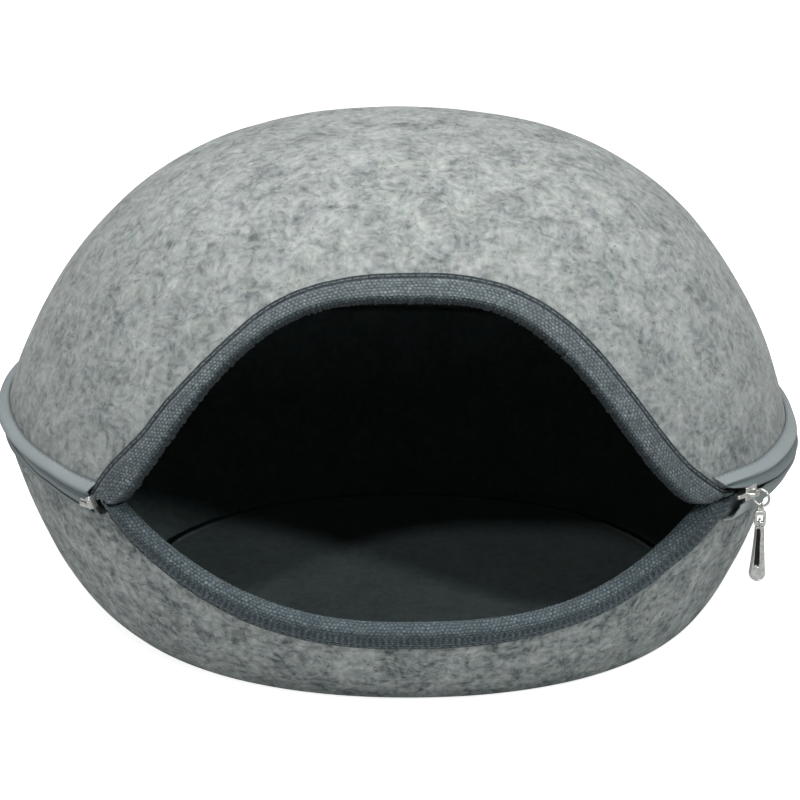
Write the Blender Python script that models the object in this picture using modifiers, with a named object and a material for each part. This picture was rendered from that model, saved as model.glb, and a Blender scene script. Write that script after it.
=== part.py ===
"""Felt cat cave: a moulded felt dome zipped to a moulded felt bowl, its mouth bound with webbing.

Metres, +Z up, +X to the right, the mouth facing -Y. The origin lies on the floor, on the flat base,
under the middle of the oval. Heights called "above the zip" count from the zip, which slopes a little.
"""

import bisect
import math

import bmesh
import bpy
from mathutils import Matrix, Vector

# Felt shells
HALF_WIDTH = 0.2140  # outer face of the felt at the zip
HALF_DEPTH = 0.1680
PLAN_POWER = 2.1  # 2 is an ellipse, more is squarer
DOME_HEIGHT = 0.1620  # above the zip
DOME_SIDE_POWER = 1.37  # how soon the wall draws in above the zip
DOME_CROWN_POWER = 2.9  # how flat the crown is
DOME_LEAN = 0.002  # the crown sits this far to the right
BOWL_DEPTH = 0.1120  # below the zip, down to the flat base
BOWL_SIDE_POWER = 1.21
BOWL_TURN_POWER = 1.6
BASE_SHARE = 0.733  # size of the flat base against the oval at the zip
BOWL_LEAN = 0.006
FELT = 0.0050
ZIP_GAP = 0.0070  # between the two felt edges, where the zip runs
ZIP_SLOPE = -0.016  # the zip rises this much for each metre to the right, and lies level in depth
SLOPE_FADE = 3  # how soon the slope dies out towards the crown and the base

# Mouth: the cut edges of the felt. Each side has its own half width and curves.
ARCH_HEIGHT = 0.1131  # above the zip
RIM_DROP = 0.0597  # below the zip
MOUTH = {
    "left": {
        "half": 0.147,
        "arch": {"power": 2.74, "sharpness": 1.27},
        "rim": {"power": 2.32, "sharpness": 0.95},
    },
    "right": {
        "half": 0.168,
        "arch": {"power": 3.16, "sharpness": 2.25},
        "rim": {"power": 3.82, "sharpness": 1.18},
    },
}

# Webbing folded over the cut edges
WEBBING = 0.0012
WEBBING_EASE = 0.0012  # between webbing and felt
FOLD_START = 0.0015  # the webbing runs straight on this far past the cut edge before it turns
FOLD_ROUND = 0.0012  # and its fold bulges this much further
END_TURN = {"left": 0.016, "right": 0.035}  # the webbing's last stretch, where its width turns level
END_HEIGHT = 0.0012  # the webbing stops this far from the plane of the zip
INNER_LEG = 0.0130
UPPER_LEG = (  # outer leg: share of the way along the edge from the left corner, width
    {"share": 0.00, "width": 0.0055},
    {"share": 0.03, "width": 0.0100},
    {"share": 0.12, "width": 0.0092},
    {"share": 0.25, "width": 0.0066},
    {"share": 0.36, "width": 0.0084},
    {"share": 0.48, "width": 0.0104},
    {"share": 0.60, "width": 0.0098},
    {"share": 0.72, "width": 0.0113},
    {"share": 0.93, "width": 0.0108},
    {"share": 1.00, "width": 0.0060},
)
LOWER_LEG = (
    {"share": 0.00, "width": 0.0050},
    {"share": 0.08, "width": 0.0078},
    {"share": 0.25, "width": 0.0098},
    {"share": 0.50, "width": 0.0090},
    {"share": 0.70, "width": 0.0074},
    {"share": 0.88, "width": 0.0088},
    {"share": 1.00, "width": 0.0090},
)

# Zip tapes: a ridge that stands proud of the felt. Bulge is outward from the oval of the felt at the zip.
TAPE = 0.0010
TAPE_EASE = 0.0006
UPPER_SEAM = 0.0130  # above the zip
LOWER_SEAM = 0.0120  # below the zip at the back, more to the right and less to the left
LOWER_SEAM_SLANT = 0.0060
UPPER_TAPE_PATH = (  # height as a share of the seam's, bulge
    {"height": 0.82, "bulge": 0.0024},
    {"height": 0.60, "bulge": 0.0046},
    {"height": 0.37, "bulge": 0.0055},
    {"height": 0.16, "bulge": 0.0051},
    {"height": 0.06, "bulge": 0.0042},
)
LOWER_TAPE_PATH = (
    {"height": 0.76, "bulge": 0.0019},
    {"height": 0.46, "bulge": 0.0040},
    {"height": 0.20, "bulge": 0.0049},
    {"height": 0.08, "bulge": 0.0042},
)
RIDGE_FRONT_Y = -0.040  # in front of this the tapes bulge as the paths say
RIDGE_BACK_Y = 0.002  # behind this they lie flatter
RIDGE_BACK_LIMIT = 0.0029  # bulge beyond this is cut to a share of itself behind
RIDGE_BACK_SHARE = 0.15
TAPE_END = {"left": 0.1575, "right": 0.1745}  # |x| where the tapes stop, beside the webbing
UPPER_END_SLANT = 0.65  # the tape's end leans towards the mouth by this share of its height
LOWER_END_SLANT = 0.15
OPEN_STRETCH = 0.026  # share of the tapes' length, at the right end, along which they part
UPPER_OPENING = 0.35  # share of its seam's height by which the tape's edge has moved away at the very end
LOWER_OPENING = 0.50
CHAIN_RADIUS = 0.0015
CHAIN_BULGE = {"front": 0.0020, "back": 0.0006}
ZIP_RUN_X = 0.7  # near the corners the zip runs this much in x for each metre of its length
CHAIN_END_CLEAR = 0.0006  # the coil stops this far short of the slider's core and of the end box

# Slider, ring, connector and pull at the right corner
SLIDER_X = 0.1790
SLIDER_PLATE = Vector((0.0095, 0.0014, 0.0078))  # along the zip, outward, up
SLIDER_NOSE = Vector((0.0030, 0.0056, 0.0040))  # at the plate's end towards the mouth
SLIDER_CORE = Vector((0.0070, 0.0050, 0.0009))  # between the tapes' edges
SLIDER_BULGE = 0.0064  # back of the plate, just outside the ridge
NOSE_OVERLAP = 0.0010  # the nose reaches this far into the plate
SET_BACK = 0.0002  # a joined block's face lies this far behind its neighbour's
BRIDGE_RADIUS = 0.0034
BRIDGE_WIRE = 0.0008
RING_RADIUS = 0.0045  # to the middle of the wire
RING_WIRE = 0.00055
RING_TURN = math.radians(-33)  # the ring's plane, turned about the vertical from +X
RING_DROP = 0.0014  # the ring's middle hangs this far below the slider's
HANG_CLEARANCE = 0.0003  # between the ring and what hangs on it
EYE_RADIUS = 0.00145
EYE_WIRE = 0.0005
NECK = Vector((0.0034, 0.0016, 0.0020))  # between the connector and its eye
CONNECTOR = Vector((0.0060, 0.0022, 0.0085))
WINDOW = Vector((0.0034, 0.0060, 0.0040))
PULL_LENGTH = 0.0310
PULL_TOP_WIDTH = 0.0048
PULL_END_WIDTH = 0.0084
PULL_THICKNESS = 0.0022
PULL_CLEARANCE = 0.0004  # between the connector and the pull's body
PULL_EYE_EXTRA = 0.0010  # how far the pull's eye reaches into its body
SLOT = Vector((0.0014, 0.0012, 0.0200))
SLOT_ASIDE = 0.0008  # left of the middle
SLOT_TOP = 0.0018  # below the body's top

# Metal box that closes the zip at the left corner
END_BOX_X = 0.1525
END_BOX = Vector((0.0036, 0.0044, 0.0066))
END_TONGUE = Vector((0.0075, 0.0010, 0.0034))
TONGUE_START = 0.0005  # its end inside the box, back from the box's middle

# How finely the cloth is cut into facets
MOUTH_COLUMNS = 30
BACK_COLUMNS = 32
DOME_ROWS = (0.0, 0.055, 0.12, 0.20, 0.31, 0.44, 0.58, 0.72, 0.86, 1.0)  # share of the way to the crown
WALL_ROWS = (0.0, 0.09, 0.19, 0.33, 0.50, 0.67, 0.84, 1.0)  # share of the way to the flat base
TAPE_COLUMNS = 44
OPEN_COLUMNS = 4  # of these, along the opening stretch
MERGE = 0.00001


def material(name, colour, roughness, metallic=0.0):
    made = bpy.data.materials.new(name)
    made.use_nodes = True
    shader = made.node_tree.nodes["Principled BSDF"]
    shader.inputs["Base Color"].default_value = (*colour, 1.0)
    shader.inputs["Roughness"].default_value = roughness
    shader.inputs["Metallic"].default_value = metallic
    return made


def clear_scene():
    for obj in list(bpy.data.objects):
        bpy.data.objects.remove(obj, do_unlink=True)


def new_collection(name):
    made = bpy.data.collections.new(name)
    bpy.context.scene.collection.children.link(made)
    return made


def side_of(x):
    return "left" if x < 0 else "right"


# --- the felt's outer face ---


def plan_radius(azimuth):
    """From the middle of the oval to the felt at the zip, in the direction of azimuth."""
    across = abs(math.cos(azimuth) / HALF_WIDTH) ** PLAN_POWER
    along = abs(math.sin(azimuth) / HALF_DEPTH) ** PLAN_POWER
    return (across + along) ** (-1 / PLAN_POWER)


def shell_point(azimuth, height):
    """The felt's outer face at a height above the zip (dome) or below it (bowl, negative)."""
    if height >= 0:
        share = min(height / DOME_HEIGHT, 1.0)
        scale = (1 - share**DOME_SIDE_POWER) ** (1 / DOME_CROWN_POWER)
        lean = DOME_LEAN * share**3
    else:
        share = min(-height / BOWL_DEPTH, 1.0)
        turn = (1 - share**BOWL_SIDE_POWER) ** (1 / BOWL_TURN_POWER)
        scale = BASE_SHARE + (1 - BASE_SHARE) * turn
        lean = BOWL_LEAN * share**3
    reach = scale * plan_radius(azimuth)
    x = reach * math.cos(azimuth) + lean
    return Vector((x, reach * math.sin(azimuth), BOWL_DEPTH + height + zip_rise(x, height)))


def zip_rise(x, height):
    """How far the slope of the zip lifts the felt at x and height."""
    share = min(abs(height) / (DOME_HEIGHT if height >= 0 else BOWL_DEPTH), 1.0)
    return ZIP_SLOPE * x * (1 - share) ** SLOPE_FADE


def height_of(point):
    """The height above the zip of a point given in the part's own frame."""
    height = point.z - BOWL_DEPTH
    for _ in range(6):
        height = point.z - BOWL_DEPTH - zip_rise(point.x, height)
    return height


def shell_normal(azimuth, height):
    step = 0.0005
    round_way = shell_point(azimuth + step, height) - shell_point(azimuth - step, height)
    up_way = shell_point(azimuth, height + step) - shell_point(azimuth, height - step)
    return round_way.cross(up_way).normalized()


def onto_shell(point):
    """The point of the felt's outer face on the line from the middle of the zip's plane through point."""
    centre = Vector((0, 0, BOWL_DEPTH))
    ray = point - centre
    low, high = 0.5, 1.5
    for _ in range(40):
        middle = (low + high) / 2
        trial = centre + ray * middle
        face = shell_point(math.atan2(trial.y, trial.x), height_of(trial))
        inside = math.hypot(trial.x, trial.y) < math.hypot(face.x, face.y)
        low, high = (middle, high) if inside else (low, middle)
    found = centre + ray * low
    return math.atan2(found.y, found.x), height_of(found)


def azimuth_at(x, front=True):
    """Where the oval at the zip reaches x, in front or behind."""
    y = HALF_DEPTH * (1 - abs(x / HALF_WIDTH) ** PLAN_POWER) ** (1 / PLAN_POWER)
    return math.atan2(-y if front else y, x)


LEFT_CORNER = azimuth_at(-MOUTH["left"]["half"])
RIGHT_CORNER = azimuth_at(MOUTH["right"]["half"])


# --- the mouth's cut edges ---


def edge_line(x, line):
    """Distance of the cut edge from the zip's plane at x: the arch above it, or the rim below it."""
    side = MOUTH[side_of(x)]
    depth = ARCH_HEIGHT if line == "arch" else RIM_DROP
    share = min(abs(x) / side["half"], 1.0)
    curve = side[line]
    return depth * (1 - share ** curve["power"]) ** curve["sharpness"]


def edge_height(azimuth, line):
    """The same distance in the direction of azimuth, with its sign, found where shell and edge line meet."""
    sign = 1 if line == "arch" else -1
    if not LEFT_CORNER < azimuth < RIGHT_CORNER:
        return 0.0
    low, high = 0.0, 0.9 * (DOME_HEIGHT if line == "arch" else BOWL_DEPTH)
    for _ in range(40):
        middle = (low + high) / 2
        below = middle < edge_line(shell_point(azimuth, sign * middle).x, line)
        low, high = (middle, high) if below else (low, middle)
    return sign * low


def mouth_azimuths(line):
    """Azimuths that part a cut edge into even lengths, from the left corner to the right one."""
    steps = 400
    trials = [LEFT_CORNER + (RIGHT_CORNER - LEFT_CORNER) * i / steps for i in range(steps + 1)]
    points = [shell_point(trial, edge_height(trial, line)) for trial in trials]
    lengths = [0.0]
    for before, after in zip(points, points[1:]):
        lengths.append(lengths[-1] + (after - before).length)
    found = []
    for column in range(MOUTH_COLUMNS + 1):
        wanted = lengths[-1] * column / MOUTH_COLUMNS
        index = min(bisect.bisect_right(lengths, wanted) - 1, steps - 1)
        part = (wanted - lengths[index]) / (lengths[index + 1] - lengths[index])
        found.append(trials[index] + (trials[index + 1] - trials[index]) * part)
    return found


MOUTH_AZIMUTHS = {"arch": mouth_azimuths("arch"), "rim": mouth_azimuths("rim")}


def column_azimuth(column, line):
    """Columns run from the left corner across the mouth to the right corner, then round the back."""
    if column <= MOUTH_COLUMNS:
        return MOUTH_AZIMUTHS[line][column]
    back = (column - MOUTH_COLUMNS) / BACK_COLUMNS
    return RIGHT_CORNER + (LEFT_CORNER + 2 * math.pi - RIGHT_CORNER) * back


# --- sheets ---


def sheet(name, columns, rows, place, thickness, finish, collection, reverse=False):
    """A grid of columns by rows whose points are placed by place(column, row), then given its thickness."""
    mesh = bmesh.new()
    bmesh.ops.create_grid(mesh, x_segments=columns, y_segments=rows, size=0.5)
    for vert in mesh.verts:
        column = round((vert.co.x + 0.5) * columns)
        row = round((vert.co.y + 0.5) * rows)
        vert.co = place(column, row)
    bmesh.ops.remove_doubles(mesh, verts=mesh.verts, dist=MERGE)
    if reverse:
        bmesh.ops.reverse_faces(mesh, faces=mesh.faces)
    data = bpy.data.meshes.new(name)
    mesh.to_mesh(data)
    mesh.free()
    data.shade_smooth()
    data.materials.append(finish)
    obj = bpy.data.objects.new(name, data)
    collection.objects.link(obj)
    solid = obj.modifiers.new("Thickness", "SOLIDIFY")
    solid.thickness = thickness
    solid.offset = -1.0
    solid.use_even_offset = True
    return obj


def dome_height_at(angle):
    return DOME_HEIGHT * math.sin(angle) ** (2 / DOME_SIDE_POWER)


def bowl_height_at(angle):
    return -BOWL_DEPTH * math.sin(angle) ** (2 / BOWL_SIDE_POWER)


def place_upper(column, row):
    azimuth = column_azimuth(column, "arch")
    start = max(edge_height(azimuth, "arch"), ZIP_GAP / 2)
    first = math.asin((start / DOME_HEIGHT) ** (DOME_SIDE_POWER / 2))
    angle = first + (math.pi / 2 - first) * DOME_ROWS[row]
    return shell_point(azimuth, dome_height_at(angle))


def place_lower(column, row):
    azimuth = column_azimuth(column, "rim")
    start = min(edge_height(azimuth, "rim"), -ZIP_GAP / 2)
    first = math.asin((-start / BOWL_DEPTH) ** (BOWL_SIDE_POWER / 2))
    if row < len(WALL_ROWS):
        angle = first + (math.pi / 2 - first) * WALL_ROWS[row]
        return shell_point(azimuth, bowl_height_at(angle))
    return Vector((BOWL_LEAN, 0, 0))


def upper_shell(finish, collection):
    columns = MOUTH_COLUMNS + BACK_COLUMNS
    return sheet("upper_shell", columns, len(DOME_ROWS) - 1, place_upper, FELT, finish, collection)


def lower_shell(finish, collection):
    columns = MOUTH_COLUMNS + BACK_COLUMNS
    return sheet("lower_shell", columns, len(WALL_ROWS), place_lower, FELT, finish, collection, reverse=True)


# --- webbing ---


def edge_point(share, line):
    """Azimuth and height of the cut edge at a share of the way from the left corner to the right one."""
    place = min(share * MOUTH_COLUMNS, MOUTH_COLUMNS - 0.000001)
    column = int(place)
    first, last = MOUTH_AZIMUTHS[line][column : column + 2]
    azimuth = first + (last - first) * (place - column)
    height = edge_height(azimuth, line)
    sign = 1 if line == "arch" else -1
    return azimuth, sign * max(sign * height, END_HEIGHT)


def leg_width(share, table):
    """Width of the outer leg, eased from one row of its table to the next."""
    for before, after in zip(table, table[1:]):
        if share <= after["share"]:
            part = (share - before["share"]) / (after["share"] - before["share"])
            part = part * part * (3 - 2 * part)
            return before["width"] + (after["width"] - before["width"]) * part
    return table[-1]["width"]


def webbing_section(share, line, table):
    """Points of the folded webbing at a share of its length, from its outer leg round the fold."""
    azimuth, height = edge_point(share, line)
    step = 0.002
    before = shell_point(*edge_point(max(share - step, 0.0), line))
    after = shell_point(*edge_point(min(share + step, 1.0), line))
    along = (after - before).normalized()
    out = shell_normal(azimuth, height)
    back = along.cross(out) if line == "rim" else out.cross(along)
    edge = shell_point(azimuth, height)
    left = shell_point(LEFT_CORNER, 0)
    right = shell_point(RIGHT_CORNER, 0)
    nearest, towards, side = min(((edge - left).length, -1, "left"), ((edge - right).length, 1, "right"))
    turned = max(0.0, 1 - nearest / END_TURN[side])
    turned = turned * turned * (3 - 2 * turned)
    level = Vector((-out.y, out.x, 0)).normalized() * towards
    back = (back * (1 - turned) + level * turned).normalized()
    outer_leg = leg_width(share, table)
    points = []
    for distance in (outer_leg, outer_leg / 2, -FOLD_START):
        spot = onto_shell(edge + back * distance)
        points.append(shell_point(*spot) + shell_normal(*spot) * (WEBBING_EASE + WEBBING))
    points.append(edge - out * FELT / 2 - back * (FOLD_START + WEBBING + FOLD_ROUND))
    for distance in (-FOLD_START, INNER_LEG / 2, INNER_LEG):
        spot = onto_shell(edge + back * distance)
        points.append(shell_point(*spot) - shell_normal(*spot) * (FELT + WEBBING_EASE + WEBBING))
    return points


def webbing(name, line, table, finish, collection):
    sections = [webbing_section(i / MOUTH_COLUMNS, line, table) for i in range(MOUTH_COLUMNS + 1)]
    rows = len(sections[0]) - 1

    def place(column, row):
        return sections[column][row]

    return sheet(name, MOUTH_COLUMNS, rows, place, WEBBING, finish, collection, reverse=line == "arch")


# --- zip ---


def oval_frame(azimuth, bulge=0.0, height=0.0):
    """A frame on the oval of the zip: X along the zip towards the back, Y outward, Z up."""
    step = 0.001
    ahead = shell_point(azimuth + step, 0)
    behind = shell_point(azimuth - step, 0)
    along = (ahead - behind).normalized()
    out = Vector((along.y, -along.x, 0))
    if math.cos(azimuth) < 0:
        along = -along
    origin = shell_point(azimuth, 0) + out * bulge + Vector((0, 0, height))
    up = Vector((0, 0, 1))
    return Matrix.Translation(origin) @ Matrix((along, out, up)).transposed().to_4x4()


def tape_azimuth(share, lean=0.0):
    """Round the back from the right end to the left end. Lean brings both ends nearer the mouth."""
    first = azimuth_at(TAPE_END["right"] - lean)
    last = azimuth_at(-(TAPE_END["left"] - lean)) + 2 * math.pi
    return first + (last - first) * share


def tape_share(column):
    """Columns stand closer together along the right end, where the tapes part."""
    if column <= OPEN_COLUMNS:
        return OPEN_STRETCH * column / OPEN_COLUMNS
    return OPEN_STRETCH + (1 - OPEN_STRETCH) * (column - OPEN_COLUMNS) / (TAPE_COLUMNS - OPEN_COLUMNS)


def share_behind(azimuth):
    """0 where the ridge bulges fully, in front, and 1 where it lies flatter, behind."""
    share = (shell_point(azimuth, 0).y - RIDGE_FRONT_Y) / (RIDGE_BACK_Y - RIDGE_FRONT_Y)
    share = min(max(share, 0.0), 1.0)
    return share * share * (3 - 2 * share)


def ridge_bulge(bulge, azimuth):
    extra = max(bulge - RIDGE_BACK_LIMIT, 0.0)
    return bulge - extra * share_behind(azimuth) * (1 - RIDGE_BACK_SHARE)


def tape_point(share, row, upper):
    """Row 0 lies on the felt at the seam; the others follow the path of heights and bulges."""
    path = UPPER_TAPE_PATH if upper else LOWER_TAPE_PATH
    sign = 1 if upper else -1
    slant = UPPER_END_SLANT if upper else LOWER_END_SLANT
    seam = UPPER_SEAM
    if not upper:
        seam = LOWER_SEAM + LOWER_SEAM_SLANT * shell_point(tape_azimuth(share), 0).x / HALF_WIDTH
    if row == 0:
        azimuth = tape_azimuth(share, seam * slant)
        lift = shell_normal(azimuth, sign * seam) * (TAPE_EASE + TAPE)
        return shell_point(azimuth, sign * seam) + lift
    opened = max(0.0, 1 - share / OPEN_STRETCH) ** 2 * (UPPER_OPENING if upper else LOWER_OPENING)
    step = path[row - 1]
    height = seam * (step["height"] + (1 - step["height"]) * opened)
    azimuth = tape_azimuth(share, height * slant)
    return oval_frame(azimuth, ridge_bulge(step["bulge"], azimuth) + TAPE / 2, sign * height).translation


def tape(name, upper, finish, collection):
    rows = len(UPPER_TAPE_PATH if upper else LOWER_TAPE_PATH)

    def place(column, row):
        return tape_point(tape_share(column), row, upper)

    return sheet(name, TAPE_COLUMNS, rows, place, TAPE, finish, collection, reverse=upper)


def zip_chain(finish, collection):
    first = azimuth_at(SLIDER_X + (SLIDER_PLATE.x / 2 + CHAIN_END_CLEAR) * ZIP_RUN_X)
    last = azimuth_at(-END_BOX_X - (END_BOX.x / 2 + CHAIN_END_CLEAR + CHAIN_RADIUS) * ZIP_RUN_X) + 2 * math.pi
    curve = bpy.data.curves.new("zip_chain", "CURVE")
    curve.dimensions = "3D"
    curve.bevel_depth = CHAIN_RADIUS
    curve.bevel_resolution = 1
    curve.use_fill_caps = True
    spline = curve.splines.new("POLY")
    spline.points.add(TAPE_COLUMNS)
    for index, point in enumerate(spline.points):
        azimuth = first + (last - first) * index / TAPE_COLUMNS
        bulge = CHAIN_BULGE["front"] + (CHAIN_BULGE["back"] - CHAIN_BULGE["front"]) * share_behind(azimuth)
        point.co = (*oval_frame(azimuth, bulge).translation, 1.0)
    curve.materials.append(finish)
    obj = bpy.data.objects.new("zip_chain", curve)
    collection.objects.link(obj)
    return obj


# --- small metal pieces ---


def block(name, size, frame, offset, finish, collection, bevel=0.0004):
    """A box with softened edges, placed by its middle in a frame."""
    mesh = bmesh.new()
    bmesh.ops.create_cube(mesh, size=1.0)
    bmesh.ops.scale(mesh, vec=size, verts=mesh.verts)
    if bevel:
        edges = list(mesh.edges)
        bmesh.ops.bevel(mesh, geom=edges, offset=bevel, segments=2, profile=0.5, affect="EDGES")
    return placed(name, mesh, frame @ Matrix.Translation(offset), finish, collection)


def torus(name, radius, wire, frame, finish, collection, around=24, section=8):
    """A ring of wire about the frame's Z axis: a circle spun round."""
    mesh = bmesh.new()
    circle = bmesh.ops.create_circle(
        mesh,
        segments=section,
        radius=wire,
        matrix=Matrix.Translation((radius, 0, 0)) @ Matrix.Rotation(math.pi / 2, 4, "X"),
    )
    bmesh.ops.spin(
        mesh,
        geom=circle["verts"] + list(mesh.edges),
        axis=(0, 0, 1),
        angle=2 * math.pi,
        steps=around,
        use_merge=True,
    )
    bmesh.ops.remove_doubles(mesh, verts=mesh.verts, dist=MERGE)
    bmesh.ops.recalc_face_normals(mesh, faces=mesh.faces)
    return placed(name, mesh, frame, finish, collection)


def placed(name, mesh, frame, finish, collection):
    data = bpy.data.meshes.new(name)
    mesh.to_mesh(data)
    mesh.free()
    data.shade_smooth()
    data.set_sharp_from_angle(angle=math.radians(40))
    if finish:
        data.materials.append(finish)
    obj = bpy.data.objects.new(name, data)
    obj.matrix_world = frame
    collection.objects.link(obj)
    return obj


def combine(main, tool, operation):
    """Joins a tool to a piece, or cuts it away, and hides the tool as a guide."""
    tool.hide_render = True
    tool.display_type = "WIRE"
    change = main.modifiers.new(tool.name, "BOOLEAN")
    change.operation = operation
    change.object = tool


def slider_frame(height=0.0):
    return oval_frame(azimuth_at(SLIDER_X), SLIDER_BULGE, height)


def zip_slider(finish, collection, tools):
    """A plate outside the ridge, a core that fills the end of the groove, and a bridge for the ring."""
    frame = slider_frame()
    plate_middle = Vector((0, SLIDER_PLATE.y / 2, 0))
    slider = block("zip_slider", SLIDER_PLATE, frame, plate_middle, finish, collection)
    front = -SLIDER_PLATE.x / 2
    nose_out = SLIDER_PLATE.y - SLIDER_NOSE.y / 2 - SET_BACK
    nose_middle = Vector((front - SLIDER_NOSE.x / 2 + NOSE_OVERLAP, nose_out, 0))
    nose = block("slider_nose", SLIDER_NOSE, frame, nose_middle, None, tools)
    core_middle = Vector((front + SLIDER_CORE.x / 2, SLIDER_PLATE.y / 2 - SLIDER_CORE.y / 2, 0))
    core = block("slider_core", SLIDER_CORE, frame, core_middle, None, tools, bevel=0)
    bridge_frame = frame @ Matrix.Translation((0, SLIDER_PLATE.y, 0))
    bridge = torus("slider_bridge", BRIDGE_RADIUS, BRIDGE_WIRE, bridge_frame, None, tools, around=20)
    combine(slider, nose, "UNION")
    combine(slider, core, "UNION")
    combine(slider, bridge, "UNION")
    return slider


def ring_frame():
    """The ring's middle, X in the ring's plane and level, Z up. Its inner side hangs in the bridge."""
    hole = slider_frame() @ Vector((0, SLIDER_PLATE.y + (BRIDGE_RADIUS - BRIDGE_WIRE) / 2, -RING_DROP))
    turn = Matrix.Rotation(RING_TURN, 4, "Z")
    reach = math.sqrt(RING_RADIUS**2 - RING_DROP**2)
    return Matrix.Translation(hole) @ turn @ Matrix.Translation((reach, 0, 0))


def pull_ring(finish, collection):
    stand = Matrix.Rotation(math.pi / 2, 4, "X")
    return torus("pull_ring", RING_RADIUS, RING_WIRE, ring_frame() @ stand, finish, collection)


def pull_frame(height):
    """Below the ring's middle, facing straight ahead."""
    middle = ring_frame().translation
    return Matrix.Translation(middle + Vector((0, 0, height)))


def connector_top():
    """Height of the connector's top edge from the ring's middle: its eye hangs on the ring's lowest point."""
    eye_middle = -RING_RADIUS - RING_WIRE - HANG_CLEARANCE + EYE_RADIUS - EYE_WIRE
    return eye_middle, eye_middle - EYE_RADIUS - NECK.z


def pull_connector(finish, collection, tools):
    eye_middle, top = connector_top()
    middle = pull_frame(top - CONNECTOR.z / 2 + EYE_WIRE)
    connector = block("pull_connector", CONNECTOR, middle, Vector((0, 0, 0)), finish, collection)
    window = block("connector_window", WINDOW, middle, Vector((0, 0, 0)), None, tools, bevel=0)
    turn = Matrix.Rotation(RING_TURN, 4, "Z")
    across = pull_frame(eye_middle) @ turn @ Matrix.Rotation(math.pi / 2, 4, "Y")
    eye = torus("connector_eye", EYE_RADIUS, EYE_WIRE, across, None, tools, around=18)
    neck_middle = Vector((0, 0, -EYE_RADIUS - NECK.z / 2))
    neck = block("connector_neck", NECK, pull_frame(eye_middle), neck_middle, None, tools, bevel=0)
    combine(connector, window, "DIFFERENCE")
    combine(connector, neck, "UNION")
    combine(connector, eye, "UNION")
    return connector


def pull_outline(width_top, width_end, length, name, thickness, frame, finish, collection):
    """A flat plate that widens downward and ends in a half circle, as an extruded outline."""
    curve = bpy.data.curves.new(name, "CURVE")
    curve.dimensions = "2D"
    curve.fill_mode = "BOTH"
    curve.extrude = thickness / 2
    spline = curve.splines.new("POLY")
    end_radius = width_end / 2
    steps = 12
    outline = [(-width_top / 2, 0.0), (width_top / 2, 0.0)]
    for index in range(steps + 1):
        angle = -math.pi * index / steps
        outline.append((end_radius * math.cos(angle), -(length - end_radius) + end_radius * math.sin(angle)))
    spline.points.add(len(outline) - 1)
    for point, (x, z) in zip(spline.points, outline):
        point.co = (x, z, 0.0, 1.0)
    spline.use_cyclic_u = True
    guide = bpy.data.objects.new(name + "_outline", curve)
    collection.objects.link(guide)
    bpy.context.view_layer.update()
    evaluated = guide.evaluated_get(bpy.context.evaluated_depsgraph_get())
    data = bpy.data.meshes.new_from_object(evaluated)
    bpy.data.objects.remove(guide, do_unlink=True)
    mesh = bmesh.new()
    mesh.from_mesh(data)
    bmesh.ops.remove_doubles(mesh, verts=mesh.verts, dist=MERGE)
    bmesh.ops.recalc_face_normals(mesh, faces=mesh.faces)
    bpy.data.meshes.remove(data)
    return placed(name, mesh, frame @ Matrix.Rotation(math.pi / 2, 4, "X"), finish, collection)


def zip_pull(finish, collection, tools):
    _, top = connector_top()
    bar = top + EYE_WIRE - CONNECTOR.z + (CONNECTOR.z - WINDOW.z) / 4  # middle of the connector's lower bar
    body_top = top + EYE_WIRE - CONNECTOR.z - PULL_CLEARANCE
    frame = pull_frame(body_top)
    pull = pull_outline(
        PULL_TOP_WIDTH, PULL_END_WIDTH, PULL_LENGTH, "zip_pull", PULL_THICKNESS, frame, finish, collection
    )
    front = Vector((-SLOT_ASIDE, -PULL_THICKNESS / 2, -SLOT.z / 2 - SLOT_TOP))
    slot = block("pull_slot", SLOT, frame, front, None, tools, bevel=0)
    combine(pull, slot, "DIFFERENCE")
    reach = bar - body_top + PULL_EYE_EXTRA
    hook = frame @ Matrix.Translation((0, 0, bar - body_top)) @ Matrix.Rotation(math.pi / 2, 4, "Y")
    eye = torus("pull_eye", reach, EYE_WIRE, hook, None, tools, around=20)
    combine(pull, eye, "UNION")
    return pull


def zip_end_box(finish, collection, tools):
    """A crimp over the ends of both tapes, with a flat tongue that runs back along the groove."""
    frame = oval_frame(azimuth_at(-END_BOX_X), SLIDER_BULGE + END_TONGUE.y - END_BOX.y / 2)
    box = block("zip_end_box", END_BOX, frame, Vector((0, 0, 0)), finish, collection)
    tongue_out = (END_BOX.y - END_TONGUE.y) / 2 - SET_BACK
    tongue_middle = Vector((END_TONGUE.x / 2 + TONGUE_START, tongue_out, 0))
    tongue = block("end_tongue", END_TONGUE, frame, tongue_middle, None, tools, bevel=0.0002)
    combine(box, tongue, "UNION")
    return box


def build():
    clear_scene()
    parts = new_collection("felt_cat_cave")
    tools = new_collection("cutters")
    tools.hide_render = True
    felt = material("grey_felt", (0.30, 0.32, 0.31), 0.95)
    web = material("blue_grey_webbing", (0.11, 0.13, 0.15), 0.85)
    smooth = material("pale_grey_tape", (0.36, 0.39, 0.41), 0.6)
    coil = material("grey_coil", (0.14, 0.16, 0.18), 0.5)
    silver = material("bright_metal", (0.72, 0.71, 0.68), 0.2, metallic=1.0)
    upper_shell(felt, parts)
    lower_shell(felt, parts)
    webbing("upper_binding", "arch", UPPER_LEG, web, parts)
    webbing("lower_binding", "rim", LOWER_LEG, web, parts)
    tape("upper_zip_tape", True, smooth, parts)
    tape("lower_zip_tape", False, smooth, parts)
    zip_chain(coil, parts)
    zip_slider(silver, parts, tools)
    pull_ring(silver, parts)
    pull_connector(silver, parts, tools)
    zip_pull(silver, parts, tools)
    zip_end_box(silver, parts, tools)


build()
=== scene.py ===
import math

import bmesh
import bpy
import numpy as np
from mathutils import Matrix, Vector, noise


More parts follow.
